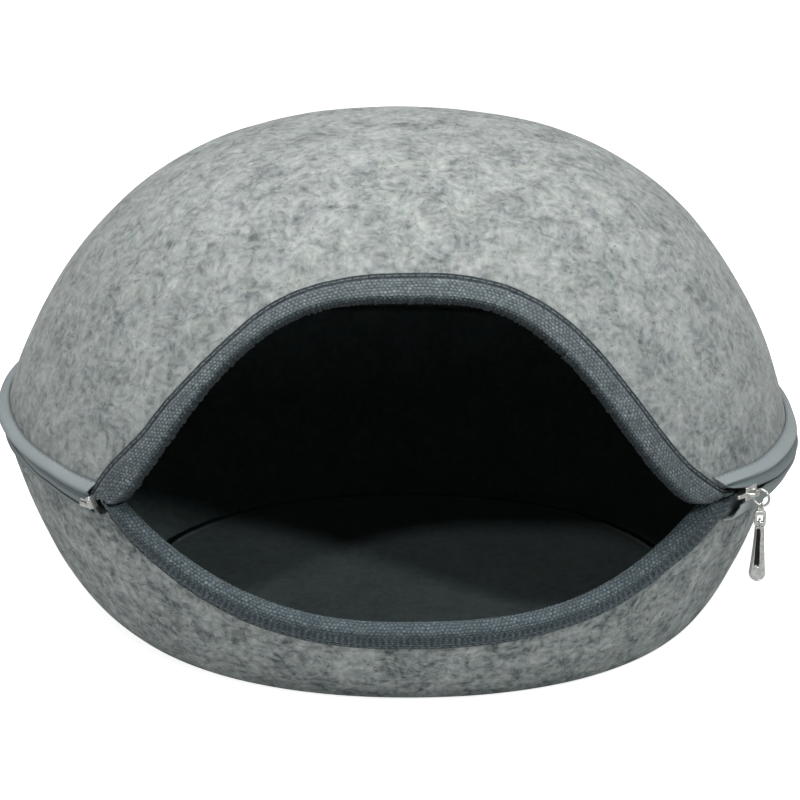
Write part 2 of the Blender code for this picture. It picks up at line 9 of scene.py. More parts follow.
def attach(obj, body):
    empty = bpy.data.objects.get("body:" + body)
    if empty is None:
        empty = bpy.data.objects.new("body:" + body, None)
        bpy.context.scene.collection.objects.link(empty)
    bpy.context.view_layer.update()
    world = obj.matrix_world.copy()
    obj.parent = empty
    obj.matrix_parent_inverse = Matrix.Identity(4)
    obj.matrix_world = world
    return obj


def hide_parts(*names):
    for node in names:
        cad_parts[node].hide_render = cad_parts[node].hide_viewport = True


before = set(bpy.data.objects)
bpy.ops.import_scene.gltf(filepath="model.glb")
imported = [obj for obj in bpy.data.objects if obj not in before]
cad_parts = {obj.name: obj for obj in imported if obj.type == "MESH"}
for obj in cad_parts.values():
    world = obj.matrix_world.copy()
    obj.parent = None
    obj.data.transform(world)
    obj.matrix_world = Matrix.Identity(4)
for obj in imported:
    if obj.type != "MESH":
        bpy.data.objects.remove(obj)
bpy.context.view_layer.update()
print("frame loaded:", sorted(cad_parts))


studio = {
    "distance": 1.5, "pitch": 23.0, "aim": (0, 0, 0.112), "lens": 122.1, "sensor": 36, "clip": (0.05, 60),
    "shift": (0.00375, 0.0125), "floorSize": 14.0, "floorColour": (0.93, 0.935, 0.94), "floorGlow": 0.96,
    "floorBounce": (0.60, 0.615, 0.615),
    "roomColour": (0.97, 0.98, 1.0), "roomSeen": 1.0, "roomLight": 0.05, "roomGloss": 0.44,
    # where each lamp stands, what it aims at, its size, power and colour
    "lamps": {
        "overhead": ((0.0, -0.26, 1.36), (0, 0, 0.12), (0.62, 0.46), 11.8, (1.0, 1.0, 0.985)),
        "leftSide": ((-1.7, 0.1, 0.70), (0, 0, 0.1), (0.9, 0.8), 1.9, (0.96, 0.98, 1.0)),
        "rightSide": ((1.7, 0.1, 0.70), (0, 0, 0.1), (0.9, 0.8), 0.7, (0.96, 0.98, 1.0)),
        "rightFront": ((0.938, -1.339, 1.522), (0, 0, 0.05), (0.16, 0.16), 8.6, (0.90, 1.0, 1.0)),
        "leftFront": ((-0.440, -1.420, 1.659), (0, 0, 0.05), (0.12, 0.12), 5.6, (0.90, 1.0, 1.0)),
    },
}


def makeCamera():
    data = bpy.data.cameras.new("camera")
    data.lens, data.sensor_width = studio["lens"], studio["sensor"]
    data.shift_x, data.shift_y = studio["shift"]
    data.clip_start, data.clip_end = studio["clip"]
    camera = bpy.data.objects.new("camera", data)
    pitch = math.radians(studio["pitch"])
    back = Vector((0, -math.cos(pitch), math.sin(pitch)))
    camera.location = Vector(studio["aim"]) + back * studio["distance"]
    camera.rotation_euler = (math.pi / 2 - pitch, 0, 0)
    bpy.context.scene.collection.objects.link(camera)
    bpy.context.scene.camera = camera


def makeLamps():
    for name, (place, aim, size, power, colour) in studio["lamps"].items():
        data = bpy.data.lights.new(name, "AREA")
        data.shape = "RECTANGLE"
        data.size, data.size_y = size
        data.energy, data.color = power, colour
        lamp = bpy.data.objects.new(name, data)
        lamp.location = place
        lamp.rotation_euler = (Vector(aim) - lamp.location).to_track_quat("-Z", "Y").to_euler()
        bpy.context.scene.collection.objects.link(lamp)


def makeRoom():
    # the room lights the cloth less than it shows behind it
    room = Finish(bpy.data.worlds.new("room"), "Background")
    room.set("Color", studio["roomColour"])
    strength = studio["roomSeen"]
    for ray, other in (("Is Diffuse Ray", studio["roomLight"]), ("Is Glossy Ray", studio["roomGloss"])):
        hit = room.add("ShaderNodeLightPath", output=ray)
        strength = room.add("ShaderNodeMapRange", None, {"Value": hit, "To Min": strength, "To Max": other})
    room.set("Strength", strength)
    bpy.context.scene.world = room.owner
    bpy.context.scene.view_settings.view_transform = "Standard"


class Value:
    # a socket that takes part in sums, so the maths of a finish reads as plain Python
    def __init__(self, finish, socket):
        self.finish, self.socket = finish, socket

    def sum(self, operation, first, second):
        return self.finish.add("ShaderNodeMath", {"operation": operation}, {0: first, 1: second})

    def __add__(self, other):
        return self.sum("ADD", self, other)

    def __radd__(self, other):
        return self.sum("ADD", other, self)

    def __sub__(self, other):
        return self.sum("SUBTRACT", self, other)

    def __rsub__(self, other):
        return self.sum("SUBTRACT", other, self)

    def __mul__(self, other):
        return self.sum("MULTIPLY", self, other)

    def __rmul__(self, other):
        return self.sum("MULTIPLY", other, self)

    def clamped(self):
        return self.sum("MINIMUM", self.sum("MAXIMUM", self, 0.0), 1.0)

    def between(self, low, high):
        # 0 below low, 1 above high, eased in between
        limits = {"Value": self, "From Min": low, "From Max": high}
        return self.finish.add("ShaderNodeMapRange", {"interpolation_type": "SMOOTHSTEP"}, limits)


class Finish:
    # the nodes of a material, or of the room
    def __init__(self, owner, shader="Principled BSDF"):
        self.owner = owner
        owner.use_nodes = True
        self.tree = owner.node_tree
        self.shader = self.tree.nodes[shader]

    def add(self, kind, settings=None, inputs=None, output=0):
        node = self.tree.nodes.new(kind)
        for key, value in (settings or {}).items():
            if key == "stops":
                made = node.color_ramp.elements
                while len(made) < len(value):
                    made.new(0.5)
                for element, (place, colour) in zip(made, value):
                    element.position = place
                    element.color = (*colour, 1)
            else:
                setattr(node, key, value)
        for key, value in (inputs or {}).items():
            self.feed(node.inputs[key], value)
        return Value(self, node.outputs[output])

    def feed(self, socket, value):
        if isinstance(value, Value):
            self.tree.links.new(value.socket, socket)
        elif isinstance(value, tuple) and len(value) == 3 and socket.type == "RGBA":
            socket.default_value = (*value, 1)
        else:
            socket.default_value = value

    def set(self, socket, value):
        self.feed(self.shader.inputs[socket], value)

    def place(self):
        return self.add("ShaderNodeTexCoord", output="Object")

    def flat(self):
        # metres along and across the cloth's own layout
        return self.add("ShaderNodeUVMap", {"uv_map": "flat"})

    def attribute(self, name):
        return self.add("ShaderNodeAttribute", {"attribute_name": name}, output="Fac")

    def grain(self, place, scale, detail=2.0, roughness=0.5, output="Fac"):
        inputs = {"Vector": place, "Scale": scale, "Detail": detail, "Roughness": roughness}
        return self.add("ShaderNodeTexNoise", None, inputs, output)

    def stripes(self, direction, inputs):
        wave = {"Vector": self.flat(), **inputs}
        return self.add("ShaderNodeTexWave", {"bands_direction": direction}, wave, "Fac")

    def scaled(self, place, stretch):
        return self.add("ShaderNodeMapping", None, {"Vector": place, "Scale": stretch})

    def shifted(self, place, scale, amount):
        # bends a pattern by a soft noise
        wind = self.grain(place, scale, 1.5, output="Color")
        centred = self.add("ShaderNodeVectorMath", {"operation": "SUBTRACT"}, {0: wind, 1: (0.5, 0.5, 0.5)})
        bent = self.add("ShaderNodeVectorMath", {"operation": "SCALE"}, {0: centred, "Scale": amount})
        return self.add("ShaderNodeVectorMath", {"operation": "ADD"}, {0: place, 1: bent})

    def mixed(self, factor, first, second, blend="MIX"):
        colours = {0: factor, 6: first, 7: second}
        return self.add("ShaderNodeMix", {"data_type": "RGBA", "blend_type": blend}, colours, 2)

    def bump(self, height, distance, strength):
        inputs = {"Height": height, "Distance": distance, "Strength": strength}
        self.set("Normal", self.add("ShaderNodeBump", None, inputs))


def newFinish(name, constants):
    finish = Finish(bpy.data.materials.new(name))
    for socket, value in constants.items():
        finish.set(socket, value)
    return finish


feltLook = {
    "dark": (0.105, 0.122, 0.128), "middle": (0.340, 0.359, 0.353), "light": (0.587, 0.606, 0.588),
    "middleAt": 0.46,
    "bend": (60, 0.010), "swirl": (210, 0.0034),  # scale and reach of the two winds that bend the pattern
    "clumps": (235, 3.5, 0.56), "clouds": (58, 2.0, 0.55),  # scale, detail and roughness
    "strokes": (1.0, 2.0, 0.55), "strokeLong": 130, "strokeShort": 470,
    "clump": 1.20, "cloud": 0.88, "stroke": 0.36,
    "reliefShares": (0.9, 0.25), "relief": (0.0004, 0.8),  # of clumps and strokes; its height and strength
    "fleck": (0.075, 0.085, 0.092), "flecks": 0.50, "fleckScale": 430, "fleckStep": (0.66, 0.76),
    "tints": 0.07, "tintScale": 120, "bowlContrast": 1.45,
    # inside multiplies the colour of the felt's inner face and cut edges darker, with less mottling: painted
    # shade for the cave's shadowed inside
    "inside": (0.31, 0.355, 0.355), "insideContrast": 0.5,
    "constants": {
        "Roughness": 0.95, "Sheen Weight": 0.25, "Sheen Roughness": 0.5, "Specular IOR Level": 0.15,
    },
}


def feltFinish(name, shade=None, contrast=1.0):
    # pressed felt: clumps of dark and pale fibre in swirls, with short dark strokes and flecks among them
    finish = newFinish(name, feltLook["constants"])
    place = finish.place()
    bent = finish.shifted(place, *feltLook["bend"])
    swirled = finish.shifted(bent, *feltLook["swirl"])
    clumps = finish.grain(swirled, *feltLook["clumps"])
    clouds = finish.grain(place, *feltLook["clouds"])
    long, short = feltLook["strokeLong"], feltLook["strokeShort"]
    first, second, third = (
        finish.grain(finish.scaled(bent, stretch), *feltLook["strokes"])
        for stretch in ((long, short, short), (short, long, short), (short, short, long))
    )
    clump, cloud, stroke = (feltLook[key] * contrast for key in ("clump", "cloud", "stroke"))
    strokes = first + second + third
    tone = (clumps - 0.5) * clump + (clouds - 0.5) * cloud + (strokes - 1.5) * stroke + 0.5
    stops = [(0.0, feltLook["dark"]), (feltLook["middleAt"], feltLook["middle"]), (1.0, feltLook["light"])]
    colour = finish.add("ShaderNodeValToRGB", {"stops": stops}, {"Fac": tone.clamped()})
    flecks = finish.grain(swirled, feltLook["fleckScale"], 1.0).between(*feltLook["fleckStep"])
    colour = finish.mixed(flecks * (feltLook["flecks"] * contrast), colour, feltLook["fleck"])
    tint = finish.grain(bent, feltLook["tintScale"], 1.0, output="Color")
    colour = finish.mixed(feltLook["tints"], colour, tint, "SOFT_LIGHT")
    # shade multiplies the whole colour darker: painted shade
    if shade:
        colour = finish.mixed(1.0, colour, shade, "MULTIPLY")
    finish.set("Base Color", colour)
    clumpShare, strokeShare = feltLook["reliefShares"]
    finish.bump(clumps * clumpShare + strokes * strokeShare, *feltLook["relief"])
    return finish.owner


shell = {
    "halfWidth": 0.2140, "halfDepth": 0.1680, "planPower": 2.1,
    "domeHeight": 0.1620, "domeSide": 1.37, "domeCrown": 2.9, "domeLean": 0.002, "domeMiddle": 0.09,
    "bowlDepth": 0.1120, "bowlSide": 1.21, "bowlTurn": 1.6, "baseShare": 0.733, "bowlLean": 0.006,
    "bowlMiddle": 0.13,
    "felt": 0.0050, "zipGap": 0.0070, "zipSlope": -0.016, "slopeFade": 3,
    "mouthColumns": 170, "backColumns": 210, "domeRows": 80, "wallRows": 58, "baseRows": 16,
    # size and height of the unevenness, and the shares of the rows over which it fades in and out
    "lumps": ((0.050, 0.0007), (0.017, 0.00022)), "fadeIn": (0.02, 0.12), "fadeOut": (0.08, 0.15),
    "baseRise": 0.0005, "baseLumps": ((0.045, 0.0006),),
    # x, half width and depth of the gap beside each end of the zip
    "cornerGaps": ((-0.1525, 0.0070, 0.0100), (0.1758, 0.0044, 0.0080)),
}
mouth = {
    "arch": 0.1140, "rim": 0.0597,  # height above the zip and depth below it
    "left": {"half": 0.147, "arch": (2.74, 1.27), "rim": (2.32, 0.95)},
    "right": {"half": 0.168, "arch": (3.16, 2.25), "rim": (3.82, 1.18)},
}
upright = np.array([0.0, 0.0, 1.0])


def soft(share):
    # an eased step from 0 at 0 to 1 at 1
    share = np.clip(share, 0, 1)
    return share * share * (3 - 2 * share)


def hump(value, centre, width):
    return np.exp(-(((value - centre) / width) ** 2))


def unit(vectors):
    return vectors / np.linalg.norm(vectors, axis=-1, keepdims=True)


def runAlong(points, axis=0):
    # metres travelled along lines of points, from 0
    steps = np.cumsum(np.linalg.norm(np.diff(points, axis=axis), axis=-1), axis=axis)
    return np.concatenate([np.zeros_like(steps.take([0], axis)), steps], axis=axis)


def noiseAlong(run, often, seed):
    # a soft noise from -1 to 1 along a line, the same each time
    return np.array([noise.noise(Vector((at * often, seed, 0))) for at in run])


def lumpsAt(points, waves, seed=0.0):
    # soft unevenness in metres, the same each time
    total = np.zeros(len(points))
    for size, amount in waves:
        total += [amount * noise.noise(Vector(p) / size + Vector((seed, seed, seed))) for p in points]
    return total


def eased(share, table):
    places, widths = (np.array(column) for column in zip(*table))
    index = np.clip(np.searchsorted(places, share, side="right") - 1, 0, len(places) - 2)
    part = (share - places[index]) / (places[index + 1] - places[index])
    return widths[index] + (widths[index + 1] - widths[index]) * (part * part * (3 - 2 * part))


def planRadius(azimuth):
    across = np.abs(np.cos(azimuth) / shell["halfWidth"]) ** shell["planPower"]
    along = np.abs(np.sin(azimuth) / shell["halfDepth"]) ** shell["planPower"]
    return (across + along) ** (-1 / shell["planPower"])


def zipRise(x, height):
    # how far the slope of the zip lifts the felt at x and height
    reach = np.where(height >= 0, shell["domeHeight"], shell["bowlDepth"])
    share = np.minimum(np.abs(height) / reach, 1)
    return shell["zipSlope"] * x * (1 - share) ** shell["slopeFade"]


def shellPoint(azimuth, height):
    # the felt's outer face at a height above the zip, or below it where height is negative
    azimuth, height = np.broadcast_arrays(np.asarray(azimuth, float), np.asarray(height, float))
    up = np.clip(height / shell["domeHeight"], 0, 1)
    down = np.clip(-height / shell["bowlDepth"], 0, 1)
    dome = (1 - up ** shell["domeSide"]) ** (1 / shell["domeCrown"])
    turn = (1 - down ** shell["bowlSide"]) ** (1 / shell["bowlTurn"])
    bowl = shell["baseShare"] + (1 - shell["baseShare"]) * turn
    above = height >= 0
    reach = np.where(above, dome, bowl) * planRadius(azimuth)
    lean = np.where(above, shell["domeLean"] * up**3, shell["bowlLean"] * down**3)
    x = reach * np.cos(azimuth) + lean
    return np.stack([x, reach * np.sin(azimuth), shell["bowlDepth"] + height + zipRise(x, height)], axis=-1)


def shellNormal(azimuth, height):
    step = 0.0005
    roundWay = shellPoint(azimuth + step, height) - shellPoint(azimuth - step, height)
    upWay = shellPoint(azimuth, height + step) - shellPoint(azimuth, height - step)
    return unit(np.cross(roundWay, upWay))


def heightOf(points):
    start = height = points[..., 2] - shell["bowlDepth"]
    for _ in range(5):
        height = start - zipRise(points[..., 0], height)
    return height


def ontoShell(points):
    # the felt's outer face on the line from the middle of the zip's plane through each point
    centre = shell["bowlDepth"] * upright
    ray = points - centre
    low, high = np.full(points.shape[:-1], 0.6), np.full(points.shape[:-1], 1.4)
    for _ in range(22):
        middle = (low + high) / 2
        trial = centre + ray * middle[..., None]
        face = shellPoint(np.arctan2(trial[..., 1], trial[..., 0]), heightOf(trial))
        inside = np.hypot(trial[..., 0], trial[..., 1]) < np.hypot(face[..., 0], face[..., 1])
        low, high = np.where(inside, middle, low), np.where(inside, high, middle)
    found = centre + ray * low[..., None]
    return np.arctan2(found[..., 1], found[..., 0]), heightOf(found)


def azimuthAt(x):
    # where the front of the oval at the zip reaches x
    x = np.asarray(x, float)
    share = 1 - np.abs(x / shell["halfWidth"]) ** shell["planPower"]
    return np.arctan2(-shell["halfDepth"] * share ** (1 / shell["planPower"]), x)


leftCorner = float(azimuthAt(-mouth["left"]["half"]))
rightCorner = float(azimuthAt(mouth["right"]["half"]))


def edgeLine(x, line):
    # distance of the cut edge from the zip's plane at x
    found = np.zeros_like(x)
    for side, here in (("left", x < 0), ("right", x >= 0)):
        power, sharpness = mouth[side][line]
        share = np.minimum(np.abs(x) / mouth[side]["half"], 1)
        found = np.where(here, mouth[line] * (1 - share**power) ** sharpness, found)
    return found


def edgeHeight(azimuth, line):
    sign = 1 if line == "arch" else -1
    low = np.zeros_like(azimuth)
    high = low + 0.9 * (shell["domeHeight"] if line == "arch" else shell["bowlDepth"])
    for _ in range(36):
        middle = (low + high) / 2
        below = middle < edgeLine(shellPoint(azimuth, sign * middle)[..., 0], line)
        low, high = np.where(below, middle, low), np.where(below, high, middle)
    return sign * np.where((azimuth > leftCorner) & (azimuth < rightCorner), low, 0)


def measureEdge(line):
    # even steps along a cut edge: share of its length, azimuth, and the length itself
    azimuth = np.linspace(leftCorner, rightCorner, 1601)
    run = runAlong(shellPoint(azimuth, edgeHeight(azimuth, line)))
    return run / run[-1], azimuth, run[-1]


edges = {line: measureEdge(line) for line in ("arch", "rim")}


def edgeAzimuth(share, line):
    return np.interp(share, edges[line][0], edges[line][1])


def roundAzimuth(share, line):
    # from the left corner across the mouth to the right corner, then round the back
    front = shell["mouthColumns"] / (shell["mouthColumns"] + shell["backColumns"])
    back = rightCorner + (leftCorner + 2 * math.pi - rightCorner) * (share - front) / (1 - front)
    return np.where(share < front, edgeAzimuth(share / front, line), back)


def fadeIn(row):
    start, over = shell["fadeIn"]
    return np.clip((row - start) / over, 0, 1)


def placeDome(column, row):
    azimuth = roundAzimuth(column, "arch")
    start = np.maximum(edgeHeight(azimuth, "arch"), shell["zipGap"] / 2)
    first = np.arcsin((start / shell["domeHeight"]) ** (shell["domeSide"] / 2))
    angle = first + (math.pi / 2 - first) * row
    points = shellPoint(azimuth, shell["domeHeight"] * np.sin(angle) ** (2 / shell["domeSide"]))
    out = unit(points - shell["domeMiddle"] * upright)
    return points + out * (lumpsAt(points, shell["lumps"]) * fadeIn(row))[:, None]


def placeBowl(column, row):
    azimuth = roundAzimuth(column, "rim")
    start = np.minimum(edgeHeight(azimuth, "rim"), -shell["zipGap"] / 2)
    spots = shellPoint(azimuth, 0.0)
    for x, half, depth in shell["cornerGaps"]:
        start = np.minimum(start, -depth * soft((1 - np.abs(spots[:, 0] - x) / half) * (spots[:, 1] < 0)))
    first = np.arcsin((-start / shell["bowlDepth"]) ** (shell["bowlSide"] / 2))
    wall = shell["wallRows"] / (shell["wallRows"] + shell["baseRows"])
    angle = first + (math.pi / 2 - first) * np.clip(row / wall, 0, 1)
    points = shellPoint(azimuth, -shell["bowlDepth"] * np.sin(angle) ** (2 / shell["bowlSide"]))
    inward = np.clip((row - wall) / (1 - wall), 0, 1)
    middle = np.array([shell["bowlLean"], 0, 0])
    points = middle + (points - middle) * (1 - inward[:, None])
    out = unit(points - shell["bowlMiddle"] * upright)
    before, over = shell["fadeOut"]
    ease = fadeIn(row) * np.clip((wall - before - row) / over, 0, 1)
    points = points + out * (lumpsAt(points, shell["lumps"], 7.3) * ease)[:, None]
    rise = np.clip(inward * 4, 0, 1) * (shell["baseRise"] + lumpsAt(points, shell["baseLumps"], 3.1))
    points[:, 2] += np.maximum(rise, 0)
    return points


def finished(name, mesh, finishes, crease=180, solid=False):
    # the object of a mesh, with edges sharper than crease kept sharp and a solid's faces turned outward
    if solid:
        bmesh.ops.remove_doubles(mesh, verts=mesh.verts, dist=1e-6)
        bmesh.ops.recalc_face_normals(mesh, faces=mesh.faces)
    data = bpy.data.meshes.new(name)
    mesh.to_mesh(data)
    mesh.free()
    data.shade_smooth()
    if crease < 180:
        data.set_sharp_from_angle(angle=math.radians(crease))
    for finish in finishes:
        data.materials.append(finish)
    obj = bpy.data.objects.new(name, data)
    bpy.context.scene.collection.objects.link(obj)
    return obj


def thicken(obj, thickness):
    # gives a sheet its wall, inward from the face that was modelled
    wall = obj.modifiers.new("Thickness", "SOLIDIFY")
    wall.thickness = thickness
    wall.offset = -1
    return wall


def carry(piece, slot, *nodes):
    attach(piece, "root")
    if nodes:
        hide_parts(*nodes)


def feltShell(name, rows, place, outside, inside, flip=False):
    mesh = bmesh.new()
    columns = shell["mouthColumns"] + shell["backColumns"]
    bmesh.ops.create_grid(mesh, x_segments=columns, y_segments=rows, size=0.5)
    share = np.array([v.co for v in mesh.verts])[:, :2] + 0.5
    for vert, point in zip(mesh.verts, place(share[:, 0], share[:, 1])):
        vert.co = point
    bmesh.ops.remove_doubles(mesh, verts=mesh.verts, dist=0.00001)
    if flip:
        bmesh.ops.reverse_faces(mesh, faces=mesh.faces)
    obj = finished(name, mesh, [outside, inside])
    wall = thicken(obj, shell["felt"])
    wall.use_even_offset = True
    wall.material_offset = wall.material_offset_rim = 1
    return obj


def makeFloor():
    # a bright floor to look at that gives the object a softer bounce
    mesh = bmesh.new()
    bmesh.ops.create_grid(mesh, x_segments=1, y_segments=1, size=studio["floorSize"] / 2)
    colour = studio["floorColour"]
    constants = {"Base Color": colour, "Emission Color": colour, "Emission Strength": studio["floorGlow"]}
    finish = newFinish("paleFloor", {**constants, "Roughness": 0.9, "Specular IOR Level": 0.1})
    onCloth = finish.add("ShaderNodeLightPath", output="Is Diffuse Ray")
    onMetal = finish.add("ShaderNodeLightPath", output="Is Glossy Ray")
    dull = finish.add("ShaderNodeBsdfDiffuse", None, {"Color": studio["floorBounce"]})
    bright = Value(finish, finish.shader.outputs[0])
    seen = finish.add("ShaderNodeMixShader", None, {0: (onCloth + onMetal).clamped(), 1: bright, 2: dull})
    finish.feed(finish.tree.nodes["Material Output"].inputs["Surface"], seen)
    finished("floor", mesh, [finish.owner])


webbing = {
    "thick": 0.0011, "ease": 0.0013, "tuckedEase": 0.0002, "puff": (0.0024, 0.0026),  # its start and reach
    "foldStart": 0.0015, "foldBulge": 0.0024, "foldLength": 0.0108, "foldSpread": 0.45,
    "turnedRows": (0.02, 0.36), "endTurn": (0.016, 0.035), "endHeight": 0.0012,
    "innerLeg": 0.0130, "innerLength": 0.0145, "innerEase": 0.8,
    "waver": 0.00035, "waves": ((55, 3.7, 1.0), (160, 9.1, 0.5)),  # how often, seed and share of each wave
    "threadStep": 0.0022, "rowStep": 0.0016, "threadRound": (0.55, 0.5),
    "relief": 0.00040, "tufts": (650, 0.0013),
    "wander": (0.00085, 0.00055), "wanderOften": (190, 260),  # of the threads along and across the tape
    "rows": (26, 24, 8), "columnStep": 0.00052,  # rows of the front leg, the fold and the inner leg
    "stitch": (0.0040, 0.0034, 0.00030),  # pitch, length and radius
    "arch": {
        # share of the edge's length from the left, and width of the front leg there
        "width": (
            (0, 0.0145), (0.04, 0.0143), (0.12, 0.0098), (0.25, 0.0066), (0.36, 0.0084),
            (0.48, 0.0104), (0.60, 0.0098), (0.72, 0.0113), (0.93, 0.0122), (1, 0.0105),
        ),
        "foldRelief": 1.7, "tuftShare": 1.0, "turned": 1.0, "stitchRows": (0.0014,),
        "selvage": (0.0026, 0.0008), "fine": 0.35,
        # the grooves are sunk and also painted darker in colour: painted shade
        "shadedGrooves": ((0.0024, 0.0004, 0.20), (0.0006, 0.0003, 0.14)),  # how far across, width, depth
    },
    "rim": {
        "width": (
            (0, 0.0050), (0.08, 0.0078), (0.25, 0.0098), (0.50, 0.0090),
            (0.70, 0.0074), (0.86, 0.0092), (0.94, 0.0134), (1, 0.0165),
        ),
        "foldRelief": 0.6, "tuftShare": 0.3, "turned": 0.0, "stitchRows": (0.0014, 0.0036),
        "ribStep": 0.0031, "ribFade": (0.0008, 0.0012), "ribShare": 0.5,
        # near the end box, a line along the outer edge is sunk and painted darker: painted shadow
        "leftFade": (0.10, 0.24), "leftShadowGroove": (0.0005, 0.0007, 0.9),
    },
}


def edgeFrame(share, line):
    # the cut edge at a share of its length: its point, and the way back over the felt
    def place(at):
        azimuth = edgeAzimuth(at, line)
        height = edgeHeight(azimuth, line)
        least = webbing["endHeight"]
        return azimuth, np.maximum(height, least) if line == "arch" else np.minimum(height, -least)

    azimuth, height = place(share)
    step = 0.002
    after, before = place(np.minimum(share + step, 1)), place(np.maximum(share - step, 0))
    along = unit(shellPoint(*after) - shellPoint(*before))
    out = shellNormal(azimuth, height)
    back = np.cross(along, out) if line == "rim" else np.cross(out, along)
    edge = shellPoint(azimuth, height)
    fromLeft = np.linalg.norm(edge - shellPoint(leftCorner, 0), axis=-1)
    fromRight = np.linalg.norm(edge - shellPoint(rightCorner, 0), axis=-1)
    isLeft = fromLeft < fromRight
    leftTurn, rightTurn = webbing["endTurn"]
    turned = soft(np.where(isLeft, 1 - fromLeft / leftTurn, 1 - fromRight / rightTurn))[:, None]
    level = unit(np.stack([-out[:, 1], out[:, 0], np.zeros(len(out))], axis=-1))
    level = level * np.where(isLeft, -1, 1)[:, None]
    return edge, unit(back * (1 - turned) + level * turned)


def weave(run, across):
    # plain weave of thick threads: 1 on top of a raised thread, 0 in the gaps
    row = np.floor(across / webbing["rowStep"])
    b = across / webbing["rowStep"] - row - 0.5
    a = run / webbing["threadStep"] + row * 0.5
    a = a - np.floor(a) - 0.5
    alongRound, acrossRound = webbing["threadRound"]
    return np.cos(math.pi * a) ** alongRound * np.cos(math.pi * b) ** acrossRound


def wandering(run, across, seed):
    # soft random shifts of the threads, from -1 to 1
    oftenAlong, oftenAcross = webbing["wanderOften"]
    spots = zip(run.ravel() * oftenAlong, across.ravel() * oftenAcross)
    flat = [noise.noise(Vector((along, over, seed))) for along, over in spots]
    return np.array(flat).reshape(run.shape)


def archRelief(lift, run, across):
    # a close-woven edge between two grooves, each sunk and painted darker: painted shade
    here = webbing["arch"]
    start, over = here["selvage"]
    selvage = np.clip((across - start) / over, 0, 1)
    fine = here["fine"] * (0.5 + 0.5 * np.cos(run * 2 * math.pi / (webbing["threadStep"] / 2)))
    lift = lift * selvage + fine * (1 - selvage)
    return lift - sum(depth * hump(across, centre, width) for centre, width, depth in here["shadedGrooves"])


def rimRelief(lift, run, across, share, folded):
    # the front leg shows upright ribs more than single threads; beside the end box a line along its outer
    # edge is sunk and painted darker: painted shadow
    here = webbing["rim"]
    rib = (0.5 + 0.5 * np.cos(2 * math.pi * run / here["ribStep"])) ** 2
    start, over = here["ribFade"]
    leg = here["ribShare"] * np.clip((folded - start - across) / over, 0, 1)
    start, over = here["leftFade"]
    centre, width, depth = here["leftShadowGroove"]
    nearLeft = 1 - np.clip((share - start) / over, 0, 1)
    return lift * (1 - leg) + leg * rib - depth * nearLeft * hump(across, centre, width)


def webbingSurface(line):
    # every point of the folded webbing's outer face, with how far it lies along and across the tape
    here = webbing[line]
    legRows, foldRows, innerRows = webbing["rows"]
    thick, felt, foldStart = webbing["thick"], shell["felt"], webbing["foldStart"]
    length = edges[line][2]
    share = np.linspace(0, 1, int(length / webbing["columnStep"]) + 1)
    run = share * length
    edge, back = edgeFrame(share, line)
    waves = (part * noiseAlong(run, often, seed) for often, seed, part in webbing["waves"])
    waver = webbing["waver"] * sum(waves)
    width = eased(share, here["width"]) + waver

    def overFelt(distance, lift):
        # this far back from the cut edge and this far off the felt's outer face
        spot = ontoShell(edge + back * distance)
        normal = shellNormal(*spot)
        return shellPoint(*spot) + normal * lift, normal

    rows = []
    for index in range(legRows + 1):
        part = index / legRows
        distance = width * (1 - part) - foldStart * part
        across = width - distance
        puff = soft((across - webbing["puff"][0]) / webbing["puff"][1])
        ease = webbing["tuckedEase"] + (webbing["ease"] - webbing["tuckedEase"]) * puff
        rows.append((*overFelt(distance[:, None], (ease + thick)[:, None]), across))
    start, outward, folded = rows[-1]
    end, _ = overFelt(-foldStart, -(felt + webbing["ease"] + thick))
    centre = (start + end) / 2
    reach = np.linalg.norm(start - end, axis=-1, keepdims=True) / 2
    bulge = (webbing["foldBulge"] + 0.5 * waver)[:, None]
    for index in range(1, foldRows + 1):
        angle = math.pi / 2 - math.pi * index / foldRows
        up, forth = math.sin(angle), math.cos(angle)
        point = centre + outward * reach * up - back * bulge * forth
        normal = unit(outward * up / reach - back * forth / bulge)
        rows.append((point, normal, folded + webbing["foldLength"] * index / foldRows))
    for index in range(1, innerRows + 1):
        part = index / innerRows
        deep = felt + webbing["ease"] * (1 - webbing["innerEase"] * part) + thick
        point, normal = overFelt((foldStart + webbing["innerLeg"]) * part - foldStart, -deep)
        rows.append((point, -normal, rows[-1][2] + webbing["innerLength"] / innerRows))
    points, normals, across = (np.stack([row[k] for row in rows]) for k in range(3))
    run = np.broadcast_to(run, across.shape)
    alongStray, acrossStray = webbing["wander"]
    strayRun = run + alongStray * wandering(run, across, 4.1)
    lift = weave(strayRun, across + acrossStray * wandering(run, across, 8.6))
    if line == "arch":
        lift = archRelief(lift, run, across)
    else:
        lift = rimRelief(lift, strayRun, across, share, folded)
    index = np.arange(len(rows))[:, None]
    fold = hump(index, legRows + foldRows / 2, foldRows * webbing["foldSpread"])
    often, tall = webbing["tufts"]
    tufts = noiseAlong(run[0], often, 2.2) * tall * fold * here["tuftShare"]
    relief = webbing["relief"] * (1 + here["foldRelief"] * fold) * (lift - 0.5) + tufts
    # how far each row lies turned under the fold, for the painted shade there
    before, over = webbing["turnedRows"]
    turned = here["turned"] * np.clip((index - legRows - foldRows * before) / (foldRows * over), 0, 1)
    return points + normals * relief[..., None], run, across, lift, turned


def foldedWebbing(name, line, finish):
    points, run, across, lift, turned = webbingSurface(line)
    mesh = bmesh.new()
    _, row, column = addSheet(mesh, points)
    if line == "arch":
        bmesh.ops.reverse_faces(mesh, faces=mesh.faces)
    obj = finished(name, mesh, [finish])
    paintPoints(obj, "thread", np.clip(lift[row, column], 0, 1))
    paintPoints(obj, "turned", turned[row, 0])
    layFlat(obj, run[row, column], across[row, column])
    thicken(obj, webbing["thick"])
    return obj, points, across


